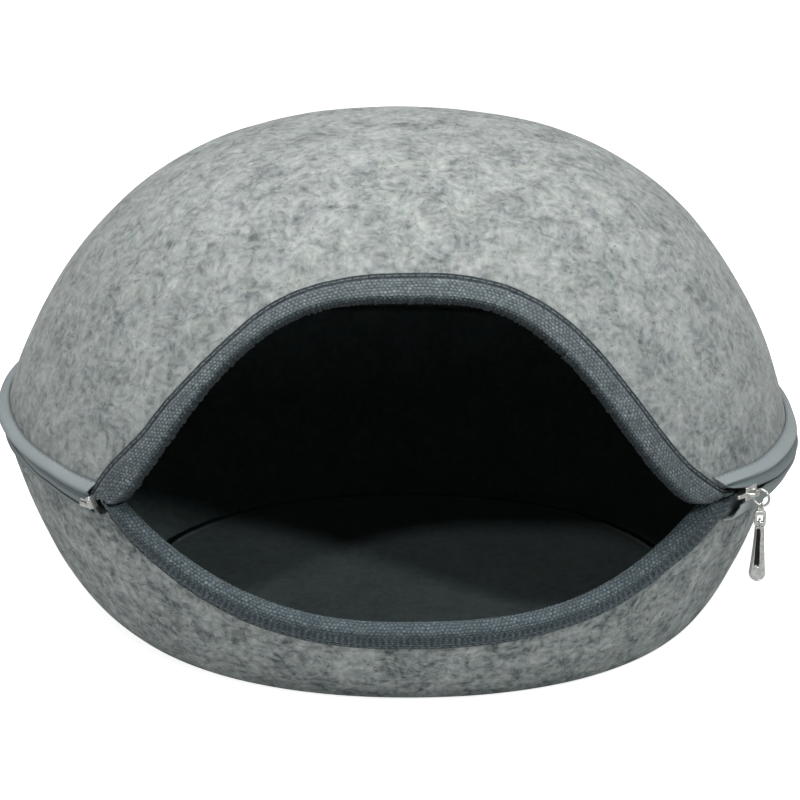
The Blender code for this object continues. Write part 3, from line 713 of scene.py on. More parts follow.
def addSheet(mesh, points):
    # a grid of faces through rows of points, with the row and column of each vertex
    rows, columns = points.shape[0] - 1, points.shape[1] - 1
    start = len(mesh.verts)
    bmesh.ops.create_grid(mesh, x_segments=columns, y_segments=rows, size=0.5)
    verts = list(mesh.verts)[start:]
    spots = np.array([v.co for v in verts]) + 0.5
    column, row = (np.rint(spots[:, axis] * count).astype(int) for axis, count in enumerate((columns, rows)))
    for vert, point in zip(verts, points[row, column]):
        vert.co = point
    return verts, row, column


def paintPoints(obj, name, values):
    made = obj.data.attributes.new(name, "FLOAT", "POINT")
    made.data.foreach_set("value", np.asarray(values, np.float32))


def layFlat(obj, along, across):
    # the cloth's own flat layout, in metres
    layer = obj.data.uv_layers.new(name="flat")
    corner = np.zeros(len(obj.data.loops), np.int32)
    obj.data.loops.foreach_get("vertex_index", corner)
    flat = np.stack([along, across], axis=-1)[corner]
    layer.data.foreach_set("uv", flat.astype(np.float32).ravel())


def addBeads(mesh, places, segments, rings, perBatch=40):
    # many small round bodies, made in batches because one long list is slow
    for start in range(0, len(places), perBatch):
        batch = bmesh.new()
        for place in places[start : start + perBatch]:
            bmesh.ops.create_uvsphere(batch, u_segments=segments, v_segments=rings, radius=1, matrix=place)
        data = bpy.data.meshes.new("batch")
        batch.to_mesh(data)
        batch.free()
        mesh.from_mesh(data)
        bpy.data.meshes.remove(data)


def moved(x, y, z):
    return Matrix.Translation((x, y, z))


def spun(angle, axis):
    return Matrix.Rotation(angle, 4, axis)


def turnTo(x, y, z):
    return Matrix((Vector(x), Vector(y), Vector(z))).transposed().to_4x4()


def stitchRow(mesh, points, normals, pitch, length, radius):
    # small stitches of thread, end to end along a line of points on the cloth
    run = runAlong(points)

    def spot(values, at):
        return Vector([np.interp(at, run, values[:, k]) for k in range(3)])

    places = []
    size = Matrix.Diagonal((length / 2, radius, radius, 1)) @ spun(math.pi / 2, "Y")
    for start in np.arange(pitch * 0.4, run[-1] - length, pitch):
        first, last = spot(points, start), spot(points, start + length)
        normal = spot(normals, start + length / 2).normalized()
        along = (last - first).normalized()
        side = along.cross(normal).normalized()
        places.append(moved(*((first + last) / 2)) @ turnTo(along, side, along.cross(side)) @ size)
    addBeads(mesh, places, 6, 5)


def rowAcross(points, across, distance):
    # the line on a webbing that runs this far in from its outer edge
    columns = range(points.shape[1])
    return np.array([[np.interp(distance, across[:, c], points[:, c, k]) for k in range(3)] for c in columns])


threadLook = {
    "dark": (0.15, 0.175, 0.185), "light": (0.27, 0.30, 0.32),
    "toneScale": 900, "toneStep": (0.3, 0.7), "grainScale": 2600, "relief": (0.0002, 0.6),
    "constants": {"Roughness": 0.75, "Sheen Weight": 0.2},
}


def threadFinish():
    finish = newFinish("greyThread", threadLook["constants"])
    place = finish.place()
    tone = finish.grain(place, threadLook["toneScale"]).between(*threadLook["toneStep"])
    finish.set("Base Color", finish.mixed(tone, threadLook["dark"], threadLook["light"]))
    finish.bump(finish.grain(place, threadLook["grainScale"], 1.0), *threadLook["relief"])
    return finish.owner


webbingLook = {
    # rim multiplies the rim webbing's colour darker: painted shade
    "gap": (0.032, 0.040, 0.046), "shade": (0.075, 0.092, 0.102), "rim": (0.70, 0.745, 0.77),
    # colour, how unevenly it comes, the thread heights between which it comes, and how much
    "layers": (
        ((0.122, 0.146, 0.158), 0.7, (0.02, 0.42), 1.0),
        ((0.262, 0.296, 0.312), 1.3, (0.45, 0.95), 1.0),
        ((0.46, 0.50, 0.52), 2.4, (1.0, 1.35), 0.8),
    ),
    "uneven": (460, 2.0, 0.6), "turnedShade": 0.85,
    "patchScale": 90, "patchStart": 0.40, "patchStrength": 1.3,  # of the darker patches
    "yarn": {"Scale": 900.0, "Distortion": 1.5, "Detail": 1.0, "Detail Scale": 2.0},
    "reliefShares": (0.4, 0.8), "relief": (0.00035, 0.7),  # of yarn and unevenness; its height and strength
    "constants": {
        "Roughness": 0.85, "Sheen Weight": 0.08, "Sheen Roughness": 0.45, "Specular IOR Level": 0.25,
    },
}


def webbingFinish(name, shade=None):
    # dark gaps between paler threads of uneven brightness, with fine yarn across them
    finish = newFinish(name, webbingLook["constants"])
    place = finish.place()
    thread = finish.attribute("thread")
    uneven = finish.grain(place, *webbingLook["uneven"])
    colour = webbingLook["gap"]
    for paler, wild, heights, share in webbingLook["layers"]:
        there = (thread + (uneven - 0.5) * wild).between(*heights)
        colour = finish.mixed(there if share == 1 else there * share, colour, paler)
    patches = (finish.grain(place, webbingLook["patchScale"]) - webbingLook["patchStart"]).clamped()
    colour = finish.mixed(patches * webbingLook["patchStrength"], colour, webbingLook["shade"])
    # painted shade on the rows turned under the fold: their colour goes towards the gap colour
    colour = finish.mixed(finish.attribute("turned") * webbingLook["turnedShade"], colour, webbingLook["gap"])
    # shade multiplies the whole colour darker: painted shade for the rim webbing's copy of this finish
    if shade:
        colour = finish.mixed(1.0, colour, shade, "MULTIPLY")
    finish.set("Base Color", colour)
    yarn = finish.stripes("DIAGONAL", webbingLook["yarn"])
    yarnShare, unevenShare = webbingLook["reliefShares"]
    finish.bump(yarn * yarnShare + uneven * unevenShare, *webbingLook["relief"])
    return finish.owner


tapes = {
    "thick": 0.0010, "ease": 0.0006, "seamTuck": (0.0011, 0.0003), "waver": (34, 0.0003),
    "sideRecess": (-0.105, -0.055),  # where along the left side the tape draws back
    "ridge": (-0.040, 0.002), "backLimit": 0.0029, "backShare": 0.15,
    "ends": (-0.1575, 0.1745), "open": 0.032, "columns": 560, "crowding": 1.15, "rowsPerStep": 5,
    # places and widths of the crease above the woven strip and of the strip's edge are in steps of the path
    "crease": 0.0003, "creaseAt": 5.2, "creaseWide": 0.30,
    "stripEdge": 7.35, "stripEdgeWide": 0.25, "stripEdgeShare": 0.5,
    # stripLead, paleEdge and the lower tape's share set how the painted shade falls on the tapes
    "stripLead": 0.45, "paleEdge": 0.9, "paleEdgeWide": 0.35, "lowerTapeShade": 0.30,
    "puff": (0.35, 0.18, 0.0003), "ripple": ((0.022, 0.00012),), "seamShade": 0.0009, "flap": 0.014,
    "stitch": (0.0034, 0.0027, 0.00024), "stitchRow": 4,  # the row of points that the stitches follow
    "changeOver": 0.2,  # width over which the left side's measures become the right side's
    # share from the right end round the back to the left end, and height of the meeting line there
    "meeting": (
        (0, -0.0010), (0.022, -0.0011), (0.048, -0.0034), (0.075, -0.0048), (0.12, -0.0044), (0.30, -0.0010),
        (0.50, 0), (0.80, 0.0010), (0.93, 0.0011), (0.962, -0.0013), (1, -0.0050),
    ),
    "upperTape": {
        "sign": 1, "seed": 1.3, "flatWidth": 0.018, "endSlant": (0.85, 0.25), "opening": 0.70,
        "seam": (
            (0, 0.0106), (0.055, 0.0078), (0.13, 0.0066), (0.30, 0.0085), (0.60, 0.0110), (0.885, 0.0126),
            (0.94, 0.0099), (0.962, 0.0097), (0.985, 0.0083), (1, 0.0082),
        ),
        # share of the way up from the meeting line on the right and left, how far the tape stands out there,
        # and how much less on the drawn-back left side
        "path": (
            (0.93, 0.86, 0.0024, 0.0026, 0), (0.87, 0.75, 0.0039, 0.0041, 0), (0.81, 0.65, 0.0051, 0.0044, 0),
            (0.75, 0.58, 0.0054, 0.0039, 0.0003), (0.69, 0.52, 0.0050, 0.0031, 0.0008),
            (0.38, 0.33, 0.0064, 0.0038, 0.0022), (0.06, 0.05, 0.0062, 0.0030, 0.0026),
        ),
    },
    "lowerTape": {
        "sign": -1, "seed": 8.9, "flatWidth": 0.0125, "endSlant": (0.15, 0.15), "opening": 0.25,
        "seam": (
            (0, 0.0165), (0.12, 0.0170), (0.50, 0.0110), (0.80, 0.0045), (0.93, 0.0030), (0.962, 0.0050),
            (1, 0.0085),
        ),
        "path": (
            (0.76, 0.76, 0.0020, 0.0012, 0.0004), (0.46, 0.46, 0.0043, 0.0026, 0.0016),
            (0.20, 0.20, 0.0058, 0.0031, 0.0024), (0.06, 0.06, 0.0056, 0.0028, 0.0024),
        ),
    },
}


def aheadAndOut(azimuth):
    step = 0.001
    along = unit(shellPoint(azimuth + step, 0.0) - shellPoint(azimuth - step, 0.0))
    out = unit(np.stack([along[..., 1], -along[..., 0], np.zeros_like(azimuth)], axis=-1))
    return along, out


def tapeAzimuth(share, leanRight=0.0, leanLeft=0.0):
    first = azimuthAt(tapes["ends"][1] - leanRight)
    last = azimuthAt(tapes["ends"][0] + leanLeft) + 2 * math.pi
    return first + (last - first) * share


def meetingHeight(azimuth):
    # height of the line where the two tapes meet over the coil
    first, last = tapeAzimuth(0), tapeAzimuth(1)
    return eased(np.clip((azimuth - first) / (last - first), 0, 1), tapes["meeting"])


def behind(azimuth):
    # 0 in front of the ridge's sides, 1 behind them
    front, back = tapes["ridge"]
    return soft((shellPoint(azimuth, 0.0)[..., 1] - front) / (back - front))


def rightward(azimuth):
    # 0 on the left side, 1 on the right
    return np.clip(shellPoint(azimuth, 0.0)[..., 0] / tapes["changeOver"] + 0.5, 0, 1)


def drawnBack(azimuth):
    # 1 where the left side of the ridge lies closer to the felt
    near, far = tapes["sideRecess"]
    return np.clip((shellPoint(azimuth, 0.0)[..., 1] - near) / (far - near), 0, 1) * (1 - rightward(azimuth))


def tapeSurface(tape):
    sign, (rightSlant, leftSlant) = tape["sign"], tape["endSlant"]
    share = np.linspace(0, 1, tapes["columns"] + 1) ** tapes["crowding"]
    seam, meeting = sign * eased(share, tape["seam"]), eased(share, tapes["meeting"])
    often, reach = tapes["waver"]
    waver = noiseAlong(share, often, tape["seed"]) * reach

    def slanted(height):
        rise = np.abs(height - meeting)
        return tapeAzimuth(share, rise * rightSlant, rise * leftSlant)

    rows = []
    for over, lift in (tapes["seamTuck"], (0.0, tapes["ease"] + tapes["thick"])):
        height = seam + sign * (over + waver)
        azimuth = slanted(height)
        rows.append(shellPoint(azimuth, height) + shellNormal(azimuth, height) * lift)
    opened = np.clip(1 - share / tapes["open"], 0, 1) ** 2 * tape["opening"]
    side = rightward(tapeAzimuth(share))
    for levelRight, levelLeft, bulgeRight, bulgeLeft, recess in tape["path"]:
        level = levelLeft + (levelRight - levelLeft) * side
        height = meeting + (seam - meeting) * (level + (1 - level) * opened)
        azimuth = slanted(height)
        bulge = bulgeLeft + (bulgeRight - bulgeLeft) * side - recess * drawnBack(azimuth)
        extra = np.maximum(bulge - tapes["backLimit"], 0)
        reach = bulge - extra * behind(azimuth) * (1 - tapes["backShare"]) + tapes["thick"] / 2
        _, out = aheadAndOut(azimuth)
        rows.append(shellPoint(azimuth, 0.0) + out * reach[:, None] + upright * height[:, None])
    return smoothRows(np.stack(rows), tapes["rowsPerStep"])


def smoothRows(rows, steps):
    # a soft curve through the rows, with steps rows between each two
    last = len(rows) - 1
    found = []
    for place in np.linspace(0, last, last * steps + 1):
        index = min(int(place), last - 1)
        t = place - index
        a, b, c, d = (rows[min(max(index + k, 0), last)] for k in (-1, 0, 1, 2))
        bend, twist = 2 * a - 5 * b + 4 * c - d, 3 * b - a - 3 * c + d
        found.append(0.5 * (2 * b + (c - a) * t + bend * t**2 + twist * t**3))
    return np.stack(found)


def zipTape(name, finish):
    tape = tapes[name]
    upper = tape["sign"] > 0
    points = tapeSurface(tape)
    across, run = runAlong(points, 0), runAlong(points, 1)
    normals = unit(np.cross(np.gradient(points, axis=1), np.gradient(points, axis=0))) * -tape["sign"]
    step = np.arange(len(points))[:, None] / tapes["rowsPerStep"] + 0 * across
    centre, width, tall = tapes["puff"]
    lift = hump(across / across[-1:], centre, width) * tall
    lift = lift + lumpsAt(points.reshape(-1, 3), tapes["ripple"], 5.5).reshape(across.shape)
    if upper:  # a crease above the woven strip, and a raised edge along it
        raised = tapes["stripEdgeShare"] * hump(step, tapes["stripEdge"], tapes["stripEdgeWide"])
        lift = lift - tapes["crease"] * (hump(step, tapes["creaseAt"], tapes["creaseWide"]) - raised)
    points = points + normals * lift[..., None]
    mesh = bmesh.new()
    _, row, column = addSheet(mesh, points)
    if upper:
        bmesh.ops.reverse_faces(mesh, faces=mesh.faces)
    obj = finished(name, mesh, [finish])
    layFlat(obj, run[row, column], across[row, column])
    # painted shade: 0 on the smooth outer band, 1 on the woven strip beside the coil where the tape turns
    # down into shade, less again at its raised edge; the lower tape takes a little of it
    strip = np.clip(step - tapes["creaseAt"] + tapes["stripLead"], 0, 1)
    strip = strip - tapes["paleEdge"] * hump(step, tapes["stripEdge"], tapes["paleEdgeWide"])
    flap = np.clip(1 - run / tapes["flap"], 0, 1)  # the lower tape's right end catches the light
    strip = np.clip(strip, 0, 1) if upper else tapes["lowerTapeShade"] * (1 - flap)
    paintPoints(obj, "strip", strip[row, column])
    paintPoints(obj, "flap", (0 * flap if upper else flap)[row, column])
    paintPoints(obj, "seam", hump(across, 0, tapes["seamShade"])[row, column])
    thicken(obj, tapes["thick"])
    return obj, points, normals


tapeLook = {
    "dull": (0.285, 0.318, 0.330), "pale": (0.372, 0.405, 0.420), "rib": (0.22, 0.25, 0.265),
    # the strip beside the coil and the seam take painted shade; the flap takes a painted highlight
    "strip": (0.205, 0.245, 0.256), "seam": (0.085, 0.098, 0.105), "flap": (0.60, 0.64, 0.66),
    "ribs": {"Scale": 420.0, "Distortion": 0.6, "Detail": 1.0}, "ribShare": 0.16,
    "twill": {"Scale": 700.0, "Distortion": 0.4}, "cloudScale": 60, "grainScale": 1600,
    "reliefShares": (0.6, 0.4, 0.4), "relief": (0.00012, 0.6),  # of ribs, twill and grain; height, strength
    "constants": {"Roughness": 0.55, "Sheen Weight": 0.15, "Specular IOR Level": 0.35},
}


def tapeFinish():
    # smooth woven tape with a satin face and fine ribs along it, with painted shade beside the coil, on the
    # lower tape and at the seam, and a painted highlight on the lower tape's right end
    finish = newFinish("smoothTape", tapeLook["constants"])
    place = finish.place()
    ribs = finish.stripes("Y", tapeLook["ribs"])
    twill = finish.stripes("DIAGONAL", tapeLook["twill"])
    colour = finish.mixed(finish.grain(place, tapeLook["cloudScale"]), tapeLook["dull"], tapeLook["pale"])
    colour = finish.mixed(ribs * tapeLook["ribShare"], colour, tapeLook["rib"])
    for shade in ("strip", "flap", "seam"):
        colour = finish.mixed(finish.attribute(shade), colour, tapeLook[shade])
    finish.set("Base Color", colour)
    grain = finish.grain(place, tapeLook["grainScale"])
    ribShare, twillShare, grainShare = tapeLook["reliefShares"]
    finish.bump(ribs * ribShare + twill * twillShare + grain * grainShare, *tapeLook["relief"])
    return finish.owner


coil = {
    "bulge": (0.0036, 0.0020, 0.0010), "recess": 0.0010,  # on the right, left and back
    "turnStep": 0.00125, "turnSize": (0.00036, 0.0009, 0.00125), "tilt": 0.30,
    "from": 0.1790, "to": -0.1525, "startAside": 0.004025, "endAside": 0.0030,
    "core": (0.0005, 0.0009), "coreColumns": 420, "coreSides": 6,
    "dark": (0.13, 0.155, 0.165), "pale": (0.24, 0.27, 0.285), "toneScale": 300, "gloss": 0.38,
}


def coilLine(count):
    first = float(azimuthAt(coil["from"] + coil["startAside"]))
    last = float(azimuthAt(coil["to"] - coil["endAside"])) + 2 * math.pi
    azimuth = first + (last - first) * np.linspace(0, 1, count)
    right, left, back = coil["bulge"]
    front = left + (right - left) * rightward(azimuth) - coil["recess"] * drawnBack(azimuth)
    bulge = front + (back - front) * behind(azimuth)
    along, out = aheadAndOut(azimuth)
    points = shellPoint(azimuth, 0.0) + out * bulge[:, None] + meetingHeight(azimuth)[:, None] * upright
    return points, along, out


def zipCoil():
    points, along, out = coilLine(int(runAlong(coilLine(400)[0])[-1] / coil["turnStep"]))
    mesh, places = bmesh.new(), []
    size = Matrix.Diagonal((*coil["turnSize"], 1))
    for index, (point, ahead, away) in enumerate(zip(points, along, out)):
        lean = spun(coil["tilt"] * (1 if index % 2 else -1), "Y")
        places.append(moved(*point) @ turnTo(ahead, away, np.cross(ahead, away)) @ lean @ size)
    addBeads(mesh, places, 6, 4)
    middle, _, out = coilLine(coil["coreColumns"])
    wide, tall = coil["core"]
    angles = np.linspace(0, 2 * math.pi, coil["coreSides"] + 1)
    lines = [middle + out * (math.cos(angle) * wide) + upright * (math.sin(angle) * tall) for angle in angles]
    tube, _, _ = addSheet(mesh, np.stack(lines))
    bmesh.ops.remove_doubles(mesh, verts=tube, dist=0.00001)
    bmesh.ops.holes_fill(mesh, edges=mesh.edges, sides=coil["coreSides"])
    bmesh.ops.recalc_face_normals(mesh, faces=mesh.faces)
    finish = newFinish("greyCoil", {"Roughness": coil["gloss"]})
    tone = finish.grain(finish.place(), coil["toneScale"])
    finish.set("Base Color", finish.mixed(tone, coil["dark"], coil["pale"]))
    return finished("zipCoil", mesh, [finish.owner])


hardware = {
    "sliderX": 0.1780, "sliderBulge": 0.0064, "plate": (0.0095, 0.0014, 0.0078),
    "nose": (0.0068, 0.0040, 0.0024), "noseLap": 0.0012, "noseTurn": 0.22,
    "core": (0.0070, 0.0050, 0.0009), "coreAt": (0.0035, 0.0025),
    "bridgeRadius": 0.0034, "bridgeWire": 0.0008, "bridgeFlat": 1.5,
    # share of the plate's length, size outward and up, and place
    "flange": (0.86, 0.0022, 0.0010), "flangeAt": (0.0006, -0.0002, 0.0005),
    "swell": (0.80, 0.0011, 0.0012), "swellAt": (0.75, 0.27),
    "ringRadius": 0.0045, "ringWire": 0.00072, "ringTurn": -33.0, "ringDrop": 0.0014, "hang": 0.0003,
    "eyeRadius": 0.00145, "eyeWire": 0.0005, "neck": (0.0034, 0.0016, 0.0020), "neckLap": 0.0008,
    "connector": (0.0060, 0.0022, 0.0085), "window": (0.0034, 0.0040),
    "windowSides": 40, "windowCorner": 6.5, "windowRounding": 0.00035, "windowSharp": 1.0,
    "endBoxX": -0.1525, "endBox": (0.0032, 0.0044, 0.0066), "barTilt": 27.0,
    "boxEye": (0.0009, 0.00035, 0.22),
    "tongue": (0.0068, 0.0010, 0.0024), "tongueAt": (0.0005, 0.0006, -0.0022),
    "base": (0.5, 0.0010), "baseAt": (0.0010, 0.0001, 0.0008),  # share of the tongue's length, height, place
}


def ovalFrame(x, bulge):
    # on the zip's oval at x: X along the zip towards the back, Y outward, Z up
    azimuth = azimuthAt(x)
    along, out = aheadAndOut(azimuth)
    return moved(*(shellPoint(azimuth, 0.0) + out * bulge)) @ turnTo(-along if x < 0 else along, out, upright)


def sidesOf(verts):
    return list({edge for vert in verts for edge in vert.link_edges})


def connected(verts):
    # every vertex of the body that these belong to
    found, todo = set(verts), list(verts)
    while todo:
        for edge in todo.pop().link_edges:
            for vert in edge.verts:
                if vert not in found:
                    found.add(vert)
                    todo.append(vert)
    return list(found)


def rounded(mesh, edges, offset, segments):
    made = bmesh.ops.bevel(
        mesh, geom=edges, offset=offset, segments=segments, profile=0.5, affect="EDGES", material=-1
    )
    return connected(made["verts"])


def addBlock(mesh, size, place, rounding, segments):
    made = bmesh.ops.create_cube(mesh, size=1.0, matrix=Matrix.Diagonal((*size, 1)))["verts"]
    bmesh.ops.transform(mesh, matrix=place, verts=rounded(mesh, sidesOf(made), rounding, segments))


def addRing(mesh, radius, wire, place, around, section, flatten=1.0):
    start = moved(radius, 0, 0) @ spun(math.pi / 2, "X") @ Matrix.Diagonal((1, flatten, 1, 1))
    circle = bmesh.ops.create_circle(mesh, segments=section, radius=wire, matrix=start)["verts"]
    wall = circle + sidesOf(circle)
    bmesh.ops.spin(mesh, geom=wall, axis=(0, 0, 1), angle=2 * math.pi, steps=around, use_merge=True)
    bmesh.ops.transform(mesh, matrix=place, verts=connected(circle))


def addWindow(mesh, outer, inner, depth, place):
    # a soft-cornered frame: two loops bridged, given depth, then rounded along its edges
    corner = hardware["windowCorner"]
    rims = []
    for width, height in (outer, inner):
        loop = bmesh.ops.create_circle(mesh, segments=hardware["windowSides"], radius=1)["verts"]
        for vert in loop:
            angle = math.atan2(vert.co.y, vert.co.x)
            x, z = math.cos(angle), math.sin(angle)
            reach = (abs(x) ** corner + abs(z) ** corner) ** (-1 / corner)
            vert.co = Vector((x * reach * width / 2, -depth / 2, z * reach * height / 2))
        rims += sidesOf(loop)
    faces = bmesh.ops.bridge_loops(mesh, edges=rims)["faces"]
    made = bmesh.ops.extrude_face_region(mesh, geom=faces)["geom"]
    lifted = [item for item in made if isinstance(item, bmesh.types.BMVert)]
    bmesh.ops.translate(mesh, vec=(0, depth, 0), verts=lifted)
    body = connected(lifted)
    bmesh.ops.recalc_face_normals(mesh, faces=list({face for vert in body for face in vert.link_faces}))
    sharp = [edge for edge in sidesOf(body) if edge.calc_face_angle(0) > hardware["windowSharp"]]
    bmesh.ops.transform(mesh, matrix=place, verts=rounded(mesh, sharp, hardware["windowRounding"], 3))


def sliderFrame():
    return ovalFrame(hardware["sliderX"], hardware["sliderBulge"])


def ringFrame():
    bridge = (hardware["bridgeRadius"] - hardware["bridgeWire"]) / 2
    hole = sliderFrame() @ Vector((0, hardware["plate"][1] + bridge, -hardware["ringDrop"]))
    reach = math.sqrt(hardware["ringRadius"] ** 2 - hardware["ringDrop"] ** 2)
    return moved(*hole) @ spun(math.radians(hardware["ringTurn"]), "Z") @ moved(reach, 0, 0)


def makeSlider(finish):
    # a plate with its nose, core and bridge, flanges along its top and bottom edges and a swell beside each
    mesh = bmesh.new()
    here = sliderFrame()
    long, thick, tall = hardware["plate"]
    noseLong, noseOut, _ = hardware["nose"]
    nose = moved(hardware["noseLap"] - (long + noseLong) / 2, thick - noseOut / 2, 0)
    nose = nose @ spun(hardware["noseTurn"], "Z")
    coreBack, coreIn = hardware["coreAt"]
    addBlock(mesh, hardware["plate"], here @ moved(0, thick / 2, 0), 0.0006, 4)
    addBlock(mesh, hardware["nose"], here @ nose, 0.0009, 4)
    addBlock(mesh, hardware["core"], here @ moved(coreBack - long / 2, thick / 2 - coreIn, 0), 0.0002, 2)
    (flangeShare, *flange), (swellShare, *swell) = hardware["flange"], hardware["swell"]
    ahead, out, down = hardware["flangeAt"]
    outShare, upShare = hardware["swellAt"]
    for side in (-1, 1):
        flangePlace = here @ moved(ahead, out, side * (tall / 2 - down))
        swellPlace = here @ moved(0, thick * outShare, side * tall * upShare)
        addBlock(mesh, (long * flangeShare, *flange), flangePlace, 0.0004, 3)
        addBlock(mesh, (long * swellShare, *swell), swellPlace, 0.0004, 3)
    bridge = here @ moved(0, thick, 0)
    addRing(mesh, hardware["bridgeRadius"], hardware["bridgeWire"], bridge, 44, 12, hardware["bridgeFlat"])
    return finished("zipSlider", mesh, [finish], 55, True)


def makeRing(finish):
    mesh = bmesh.new()
    place = ringFrame() @ spun(math.pi / 2, "X")
    addRing(mesh, hardware["ringRadius"], hardware["ringWire"], place, 56, 12)
    return finished("pullRing", mesh, [finish], solid=True)


def pullPlace(height):
    return moved(*ringFrame().translation) @ moved(0, 0, height)


def connectorTop():
    # heights of the eye's middle and the window frame's top below the ring's middle
    radius = hardware["eyeRadius"]
    eye = radius - hardware["ringRadius"] - hardware["ringWire"] - hardware["hang"] - hardware["eyeWire"]
    return eye, eye - radius - hardware["neck"][2]


def makeConnector(finish):
    mesh = bmesh.new()
    eye, top = connectorTop()
    width, depth, height = hardware["connector"]
    wire, radius = hardware["eyeWire"], hardware["eyeRadius"]
    neckWide, neckDeep, neckTall = hardware["neck"]
    addWindow(mesh, (width, height), hardware["window"], depth, pullPlace(top - height / 2 + wire))
    neck = (neckWide, neckDeep, neckTall + hardware["neckLap"])
    addBlock(mesh, neck, pullPlace(eye - radius - neckTall / 2), 0.0004, 3)
    acrossRing = spun(math.radians(hardware["ringTurn"]), "Z") @ spun(math.pi / 2, "Y")
    addRing(mesh, radius, wire, pullPlace(eye) @ acrossRing, 32, 10)
    return finished("pullConnector", mesh, [finish], 50, True)


pull = {
    "length": 0.0310, "top": 0.0048, "end": 0.0084, "taper": 1.5, "thick": 0.0022, "proud": 0.0001,
    "clear": 0.0004, "hookReach": 0.0010, "rounding": 0.0003, "sharp": 1.25,  # sharp is an angle
    "columns": 26, "rows": 84, "straightShare": 0.8,  # share of the rows above the round end
    # depth or height of each feature, and the distances over which it comes and goes
    "field": (0.00030, (0.0005, 0.0009)), "disc": (0.00022, (0.0026, 0.0031)), "discUp": 0.0002,
    "slotDepth": 0.0011, "slotAside": -0.0006, "slotRise": (0.0010, 0.0016), "slotFall": (0.0225, 0.0235),
    "slotSlant": 0.45, "slotHalf": 0.00050, "slotWiden": (0.00045, 0.02), "slotEdge": 0.00035,
    "rib": 0.00055, "ribRise": (0.0012, 0.0025), "ribFall": (0.0215, 0.0235),
    "ribAside": 0.00115, "ribSide": (0.00035, 0.0008),
    "shade": 0.62, "shadeRise": (0.0010, 0.0020), "shadeFall": (0.0250, 0.0280),
    "shadeInside": 0.00055, "shadeSide": (0.00018, 0.00045), "shadeDepth": 0.0016,
}


def ramp(value, low, high):
    return soft((value - low) / (high - low))


def plateau(value, rise, fall):
    # 1 between a rise and a fall
    return ramp(value, *rise) * (1 - ramp(value, *fall))


def pullHalf(drop):
    # half the pull's width at a drop below its top, above the round end
    share = np.clip(drop / (pull["length"] - pull["end"] / 2), 0, 1)
    return (pull["top"] + (pull["end"] - pull["top"]) * share ** pull["taper"]) / 2


def slotShare(x, drop):
    # 1 inside the pull's long slot, which widens downwards and ends on a slant
    slot = plateau(drop, pull["slotRise"], [place + x * pull["slotSlant"] for place in pull["slotFall"]])
    wider, over = pull["slotWiden"]
    half = pull["slotHalf"] + wider * np.minimum(drop / over, 1)
    return slot * (1 - ramp(np.abs(x - pull["slotAside"]), half, half + pull["slotEdge"]))


def rimShade(x, drop):
    # a darker line beside the slot, inside the pull's left rim
    beside = ramp(np.abs(x + pullHalf(drop) - pull["shadeInside"]), *pull["shadeSide"])
    return pull["shade"] * plateau(drop, pull["shadeRise"], pull["shadeFall"]) * (1 - beside)


def makePull(finish):
    # a tapered plate with a raised rim, a long slot with a rib beside it, and a round end
    mesh = bmesh.new()
    _, top = connectorTop()
    height, window, wire = hardware["connector"][2], hardware["window"][1], hardware["eyeWire"]
    bodyTop = top + wire - height - pull["clear"]
    thick, endRadius = pull["thick"], pull["end"] / 2
    straight = pull["length"] - endRadius
    made = bmesh.ops.create_grid(mesh, x_segments=pull["columns"], y_segments=pull["rows"], size=0.5)["verts"]
    spots = np.array([vert.co for vert in made])
    down, share = 0.5 - spots[:, 1], pull["straightShare"]
    angle = (down - share) / (1 - share) * math.pi / 2
    drop = np.where(down < share, straight * down / share, straight + endRadius * np.sin(angle))
    half = np.where(down < share, pullHalf(drop), endRadius * np.cos(angle))
    x = spots[:, 0] * 2 * half
    inside = np.minimum.reduce([half - np.abs(x), pull["length"] - drop, drop])
    sunk, edge = pull["field"]
    relief = -sunk * ramp(inside, *edge) - pull["slotDepth"] * slotShare(x, drop)
    beside = ramp(np.abs(x - pull["ribAside"]), *pull["ribSide"])
    rib = plateau(drop, pull["ribRise"], pull["ribFall"]) * (1 - beside)
    raised, edge = pull["disc"]
    disc = 1 - ramp(np.hypot(x, drop - straight + pull["discUp"]), *edge)
    relief = relief + pull["rib"] * rib + raised * disc
    for vert, place in zip(made, np.stack([x, -thick / 2 - relief - pull["proud"], -drop], axis=-1)):
        vert.co = place
    bmesh.ops.remove_doubles(mesh, verts=made, dist=0.000005)
    for item in bmesh.ops.extrude_face_region(mesh, geom=list(mesh.faces))["geom"]:
        if isinstance(item, bmesh.types.BMVert):
            item.co.y = thick / 2
    bmesh.ops.recalc_face_normals(mesh, faces=mesh.faces)
    walls = [edge for edge in mesh.edges if len(edge.link_faces) == 2]
    sharp = [edge for edge in walls if edge.calc_face_angle(0) > pull["sharp"]]
    rounded(mesh, sharp, pull["rounding"], 2)
    bmesh.ops.transform(mesh, matrix=pullPlace(bodyTop), verts=mesh.verts)
    bar = top + wire - height + (height - window) / 4
    hook = pullPlace(bar) @ spun(math.pi / 2, "Y")
    addRing(mesh, bar - bodyTop + pull["hookReach"], wire, hook, 36, 10)
    obj = finished("zipPull", mesh, [finish], 50, True)
    back = pullPlace(bodyTop).inverted()
    x, y, z = np.array([back @ vert.co for vert in obj.data.vertices]).T
    front = y < -thick / 2 + pull["shadeDepth"]
    # painted shade: the slot and a line inside the left rim, on the front face
    paintPoints(obj, "recess", np.maximum(slotShare(x, -z), rimShade(x, -z)) * front)
    return obj


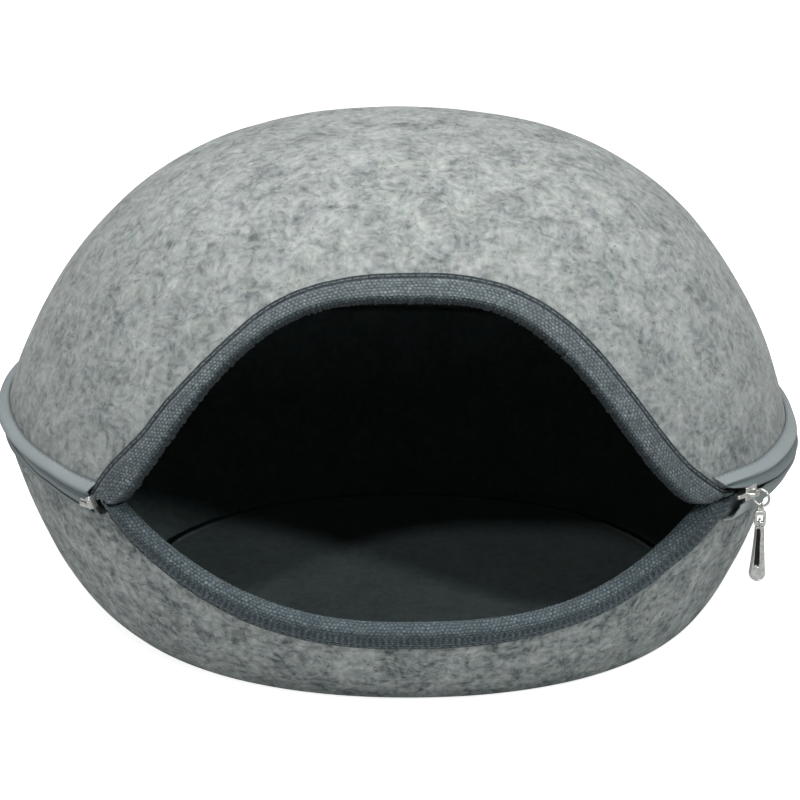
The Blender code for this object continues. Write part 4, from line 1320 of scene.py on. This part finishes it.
def makeEndBox(finish):
    # a tilted bar with a small eye near its top, over a flat base and a short tongue
    mesh = bmesh.new()
    long, deep, tall = hardware["endBox"]
    tongueLong, tongueThick, tongueTall = hardware["tongue"]
    here = ovalFrame(hardware["endBoxX"], hardware["sliderBulge"] + tongueThick - deep / 2)
    bar = here @ spun(math.radians(hardware["barTilt"]), "Y")
    addBlock(mesh, (long, deep, tall), bar, 0.0006, 4)
    radius, wire, up = hardware["boxEye"]
    addRing(mesh, radius, wire, bar @ moved(0, deep / 2, tall * up) @ spun(math.pi / 2, "X"), 20, 8)
    share, baseTall = hardware["base"]
    sizes = (tongueLong, tongueThick, tongueTall), (tongueLong * share, tongueThick, baseTall)
    for size, (ahead, sunk, up) in zip(sizes, (hardware["tongueAt"], hardware["baseAt"])):
        place = moved(tongueLong / 2 + ahead, (deep - tongueThick) / 2 - sunk, up)
        addBlock(mesh, size, here @ place, 0.0003, 3)
    return finished("zipEndBox", mesh, [finish], 55, True)


metalLook = {
    # recess is the colour of the painted shade in the pull's slot and beside its left rim
    "bright": (0.82, 0.81, 0.785), "worn": (0.60, 0.58, 0.545), "recess": (0.035, 0.033, 0.030),
    "wear": (420, 3.0, 0.6), "wornStep": (0.35, 0.7), "roughness": (0.18, 0.24),
    "grainScale": 1500, "relief": (0.00006, 0.5),
}


def metalFinish():
    # bright nickel, dulled a little by handling, with painted shade in the pull's slot and along its left rim
    finish = newFinish("brightNickel", {"Metallic": 1.0})
    place = finish.place()
    wear = finish.grain(place, *metalLook["wear"])
    colour = finish.mixed(wear.between(*metalLook["wornStep"]), metalLook["bright"], metalLook["worn"])
    finish.set("Base Color", finish.mixed(finish.attribute("recess"), colour, metalLook["recess"]))
    smoothest, spread = metalLook["roughness"]
    finish.set("Roughness", smoothest + wear * spread)
    finish.bump(finish.grain(place, metalLook["grainScale"]), *metalLook["relief"])
    return finish.owner


makeCamera()
makeLamps()
makeRoom()
makeFloor()
print("camera, lamps and floor made")

outside = feltFinish("mottledFelt")
below = feltFinish("mottledBowlFelt", None, feltLook["bowlContrast"])
# the inside felt is darkened all over: painted shade
inside = feltFinish("insideFeltPaintedShade", feltLook["inside"], feltLook["insideContrast"])
dome = feltShell("feltDome", shell["domeRows"], placeDome, outside, inside)
bowl = feltShell("feltBowl", shell["wallRows"] + shell["baseRows"], placeBowl, below, inside, flip=True)
carry(dome, "felt", "upper_shell")
carry(bowl, "felt", "lower_shell")
print("felt shells made")

thread = threadFinish()
for name, line, node, under, finish in (
    ("archWebbing", "arch", "upper_binding", "feltDome", webbingFinish("archTwill")),
    # the rim webbing's finish is darkened all over: painted shade
    ("rimWebbing", "rim", "lower_binding", "feltBowl", webbingFinish("rimTwillPaintedShade", webbingLook["rim"])),
):
    band, points, across = foldedWebbing(name, line, finish)
    stitches = bmesh.new()
    for distance in webbing[line]["stitchRows"]:
        path = rowAcross(points, across, distance)
        stitchRow(stitches, path, shellNormal(*ontoShell(path)), *webbing["stitch"])
    sewn = finished(name + "Stitches", stitches, [thread])
    carry(band, "webbing", node)
    carry(sewn, "webbing")
print("webbing folded and sewn")

satin = tapeFinish()
for name, node, under in (
    ("upperTape", "upper_zip_tape", "feltDome"),
    ("lowerTape", "lower_zip_tape", "feltBowl"),
):
    band, points, normals = zipTape(name, satin)
    stitches = bmesh.new()
    row = tapes["stitchRow"]
    stitchRow(stitches, points[row], normals[row], *tapes["stitch"])
    sewn = finished(name + "Stitches", stitches, [thread])
    carry(band, "zip_tape", node)
    carry(sewn, "zip_tape")
carry(zipCoil(), "zip_coil", "zip_chain")
print("zip made")

nickel = metalFinish()
for make, node in (
    (makeSlider, "zip_slider"), (makeRing, "pull_ring"), (makeConnector, "pull_connector"),
    (makePull, "zip_pull"), (makeEndBox, "zip_end_box"),
):
    carry(make(nickel), "metal", node)
print("metal pieces made")
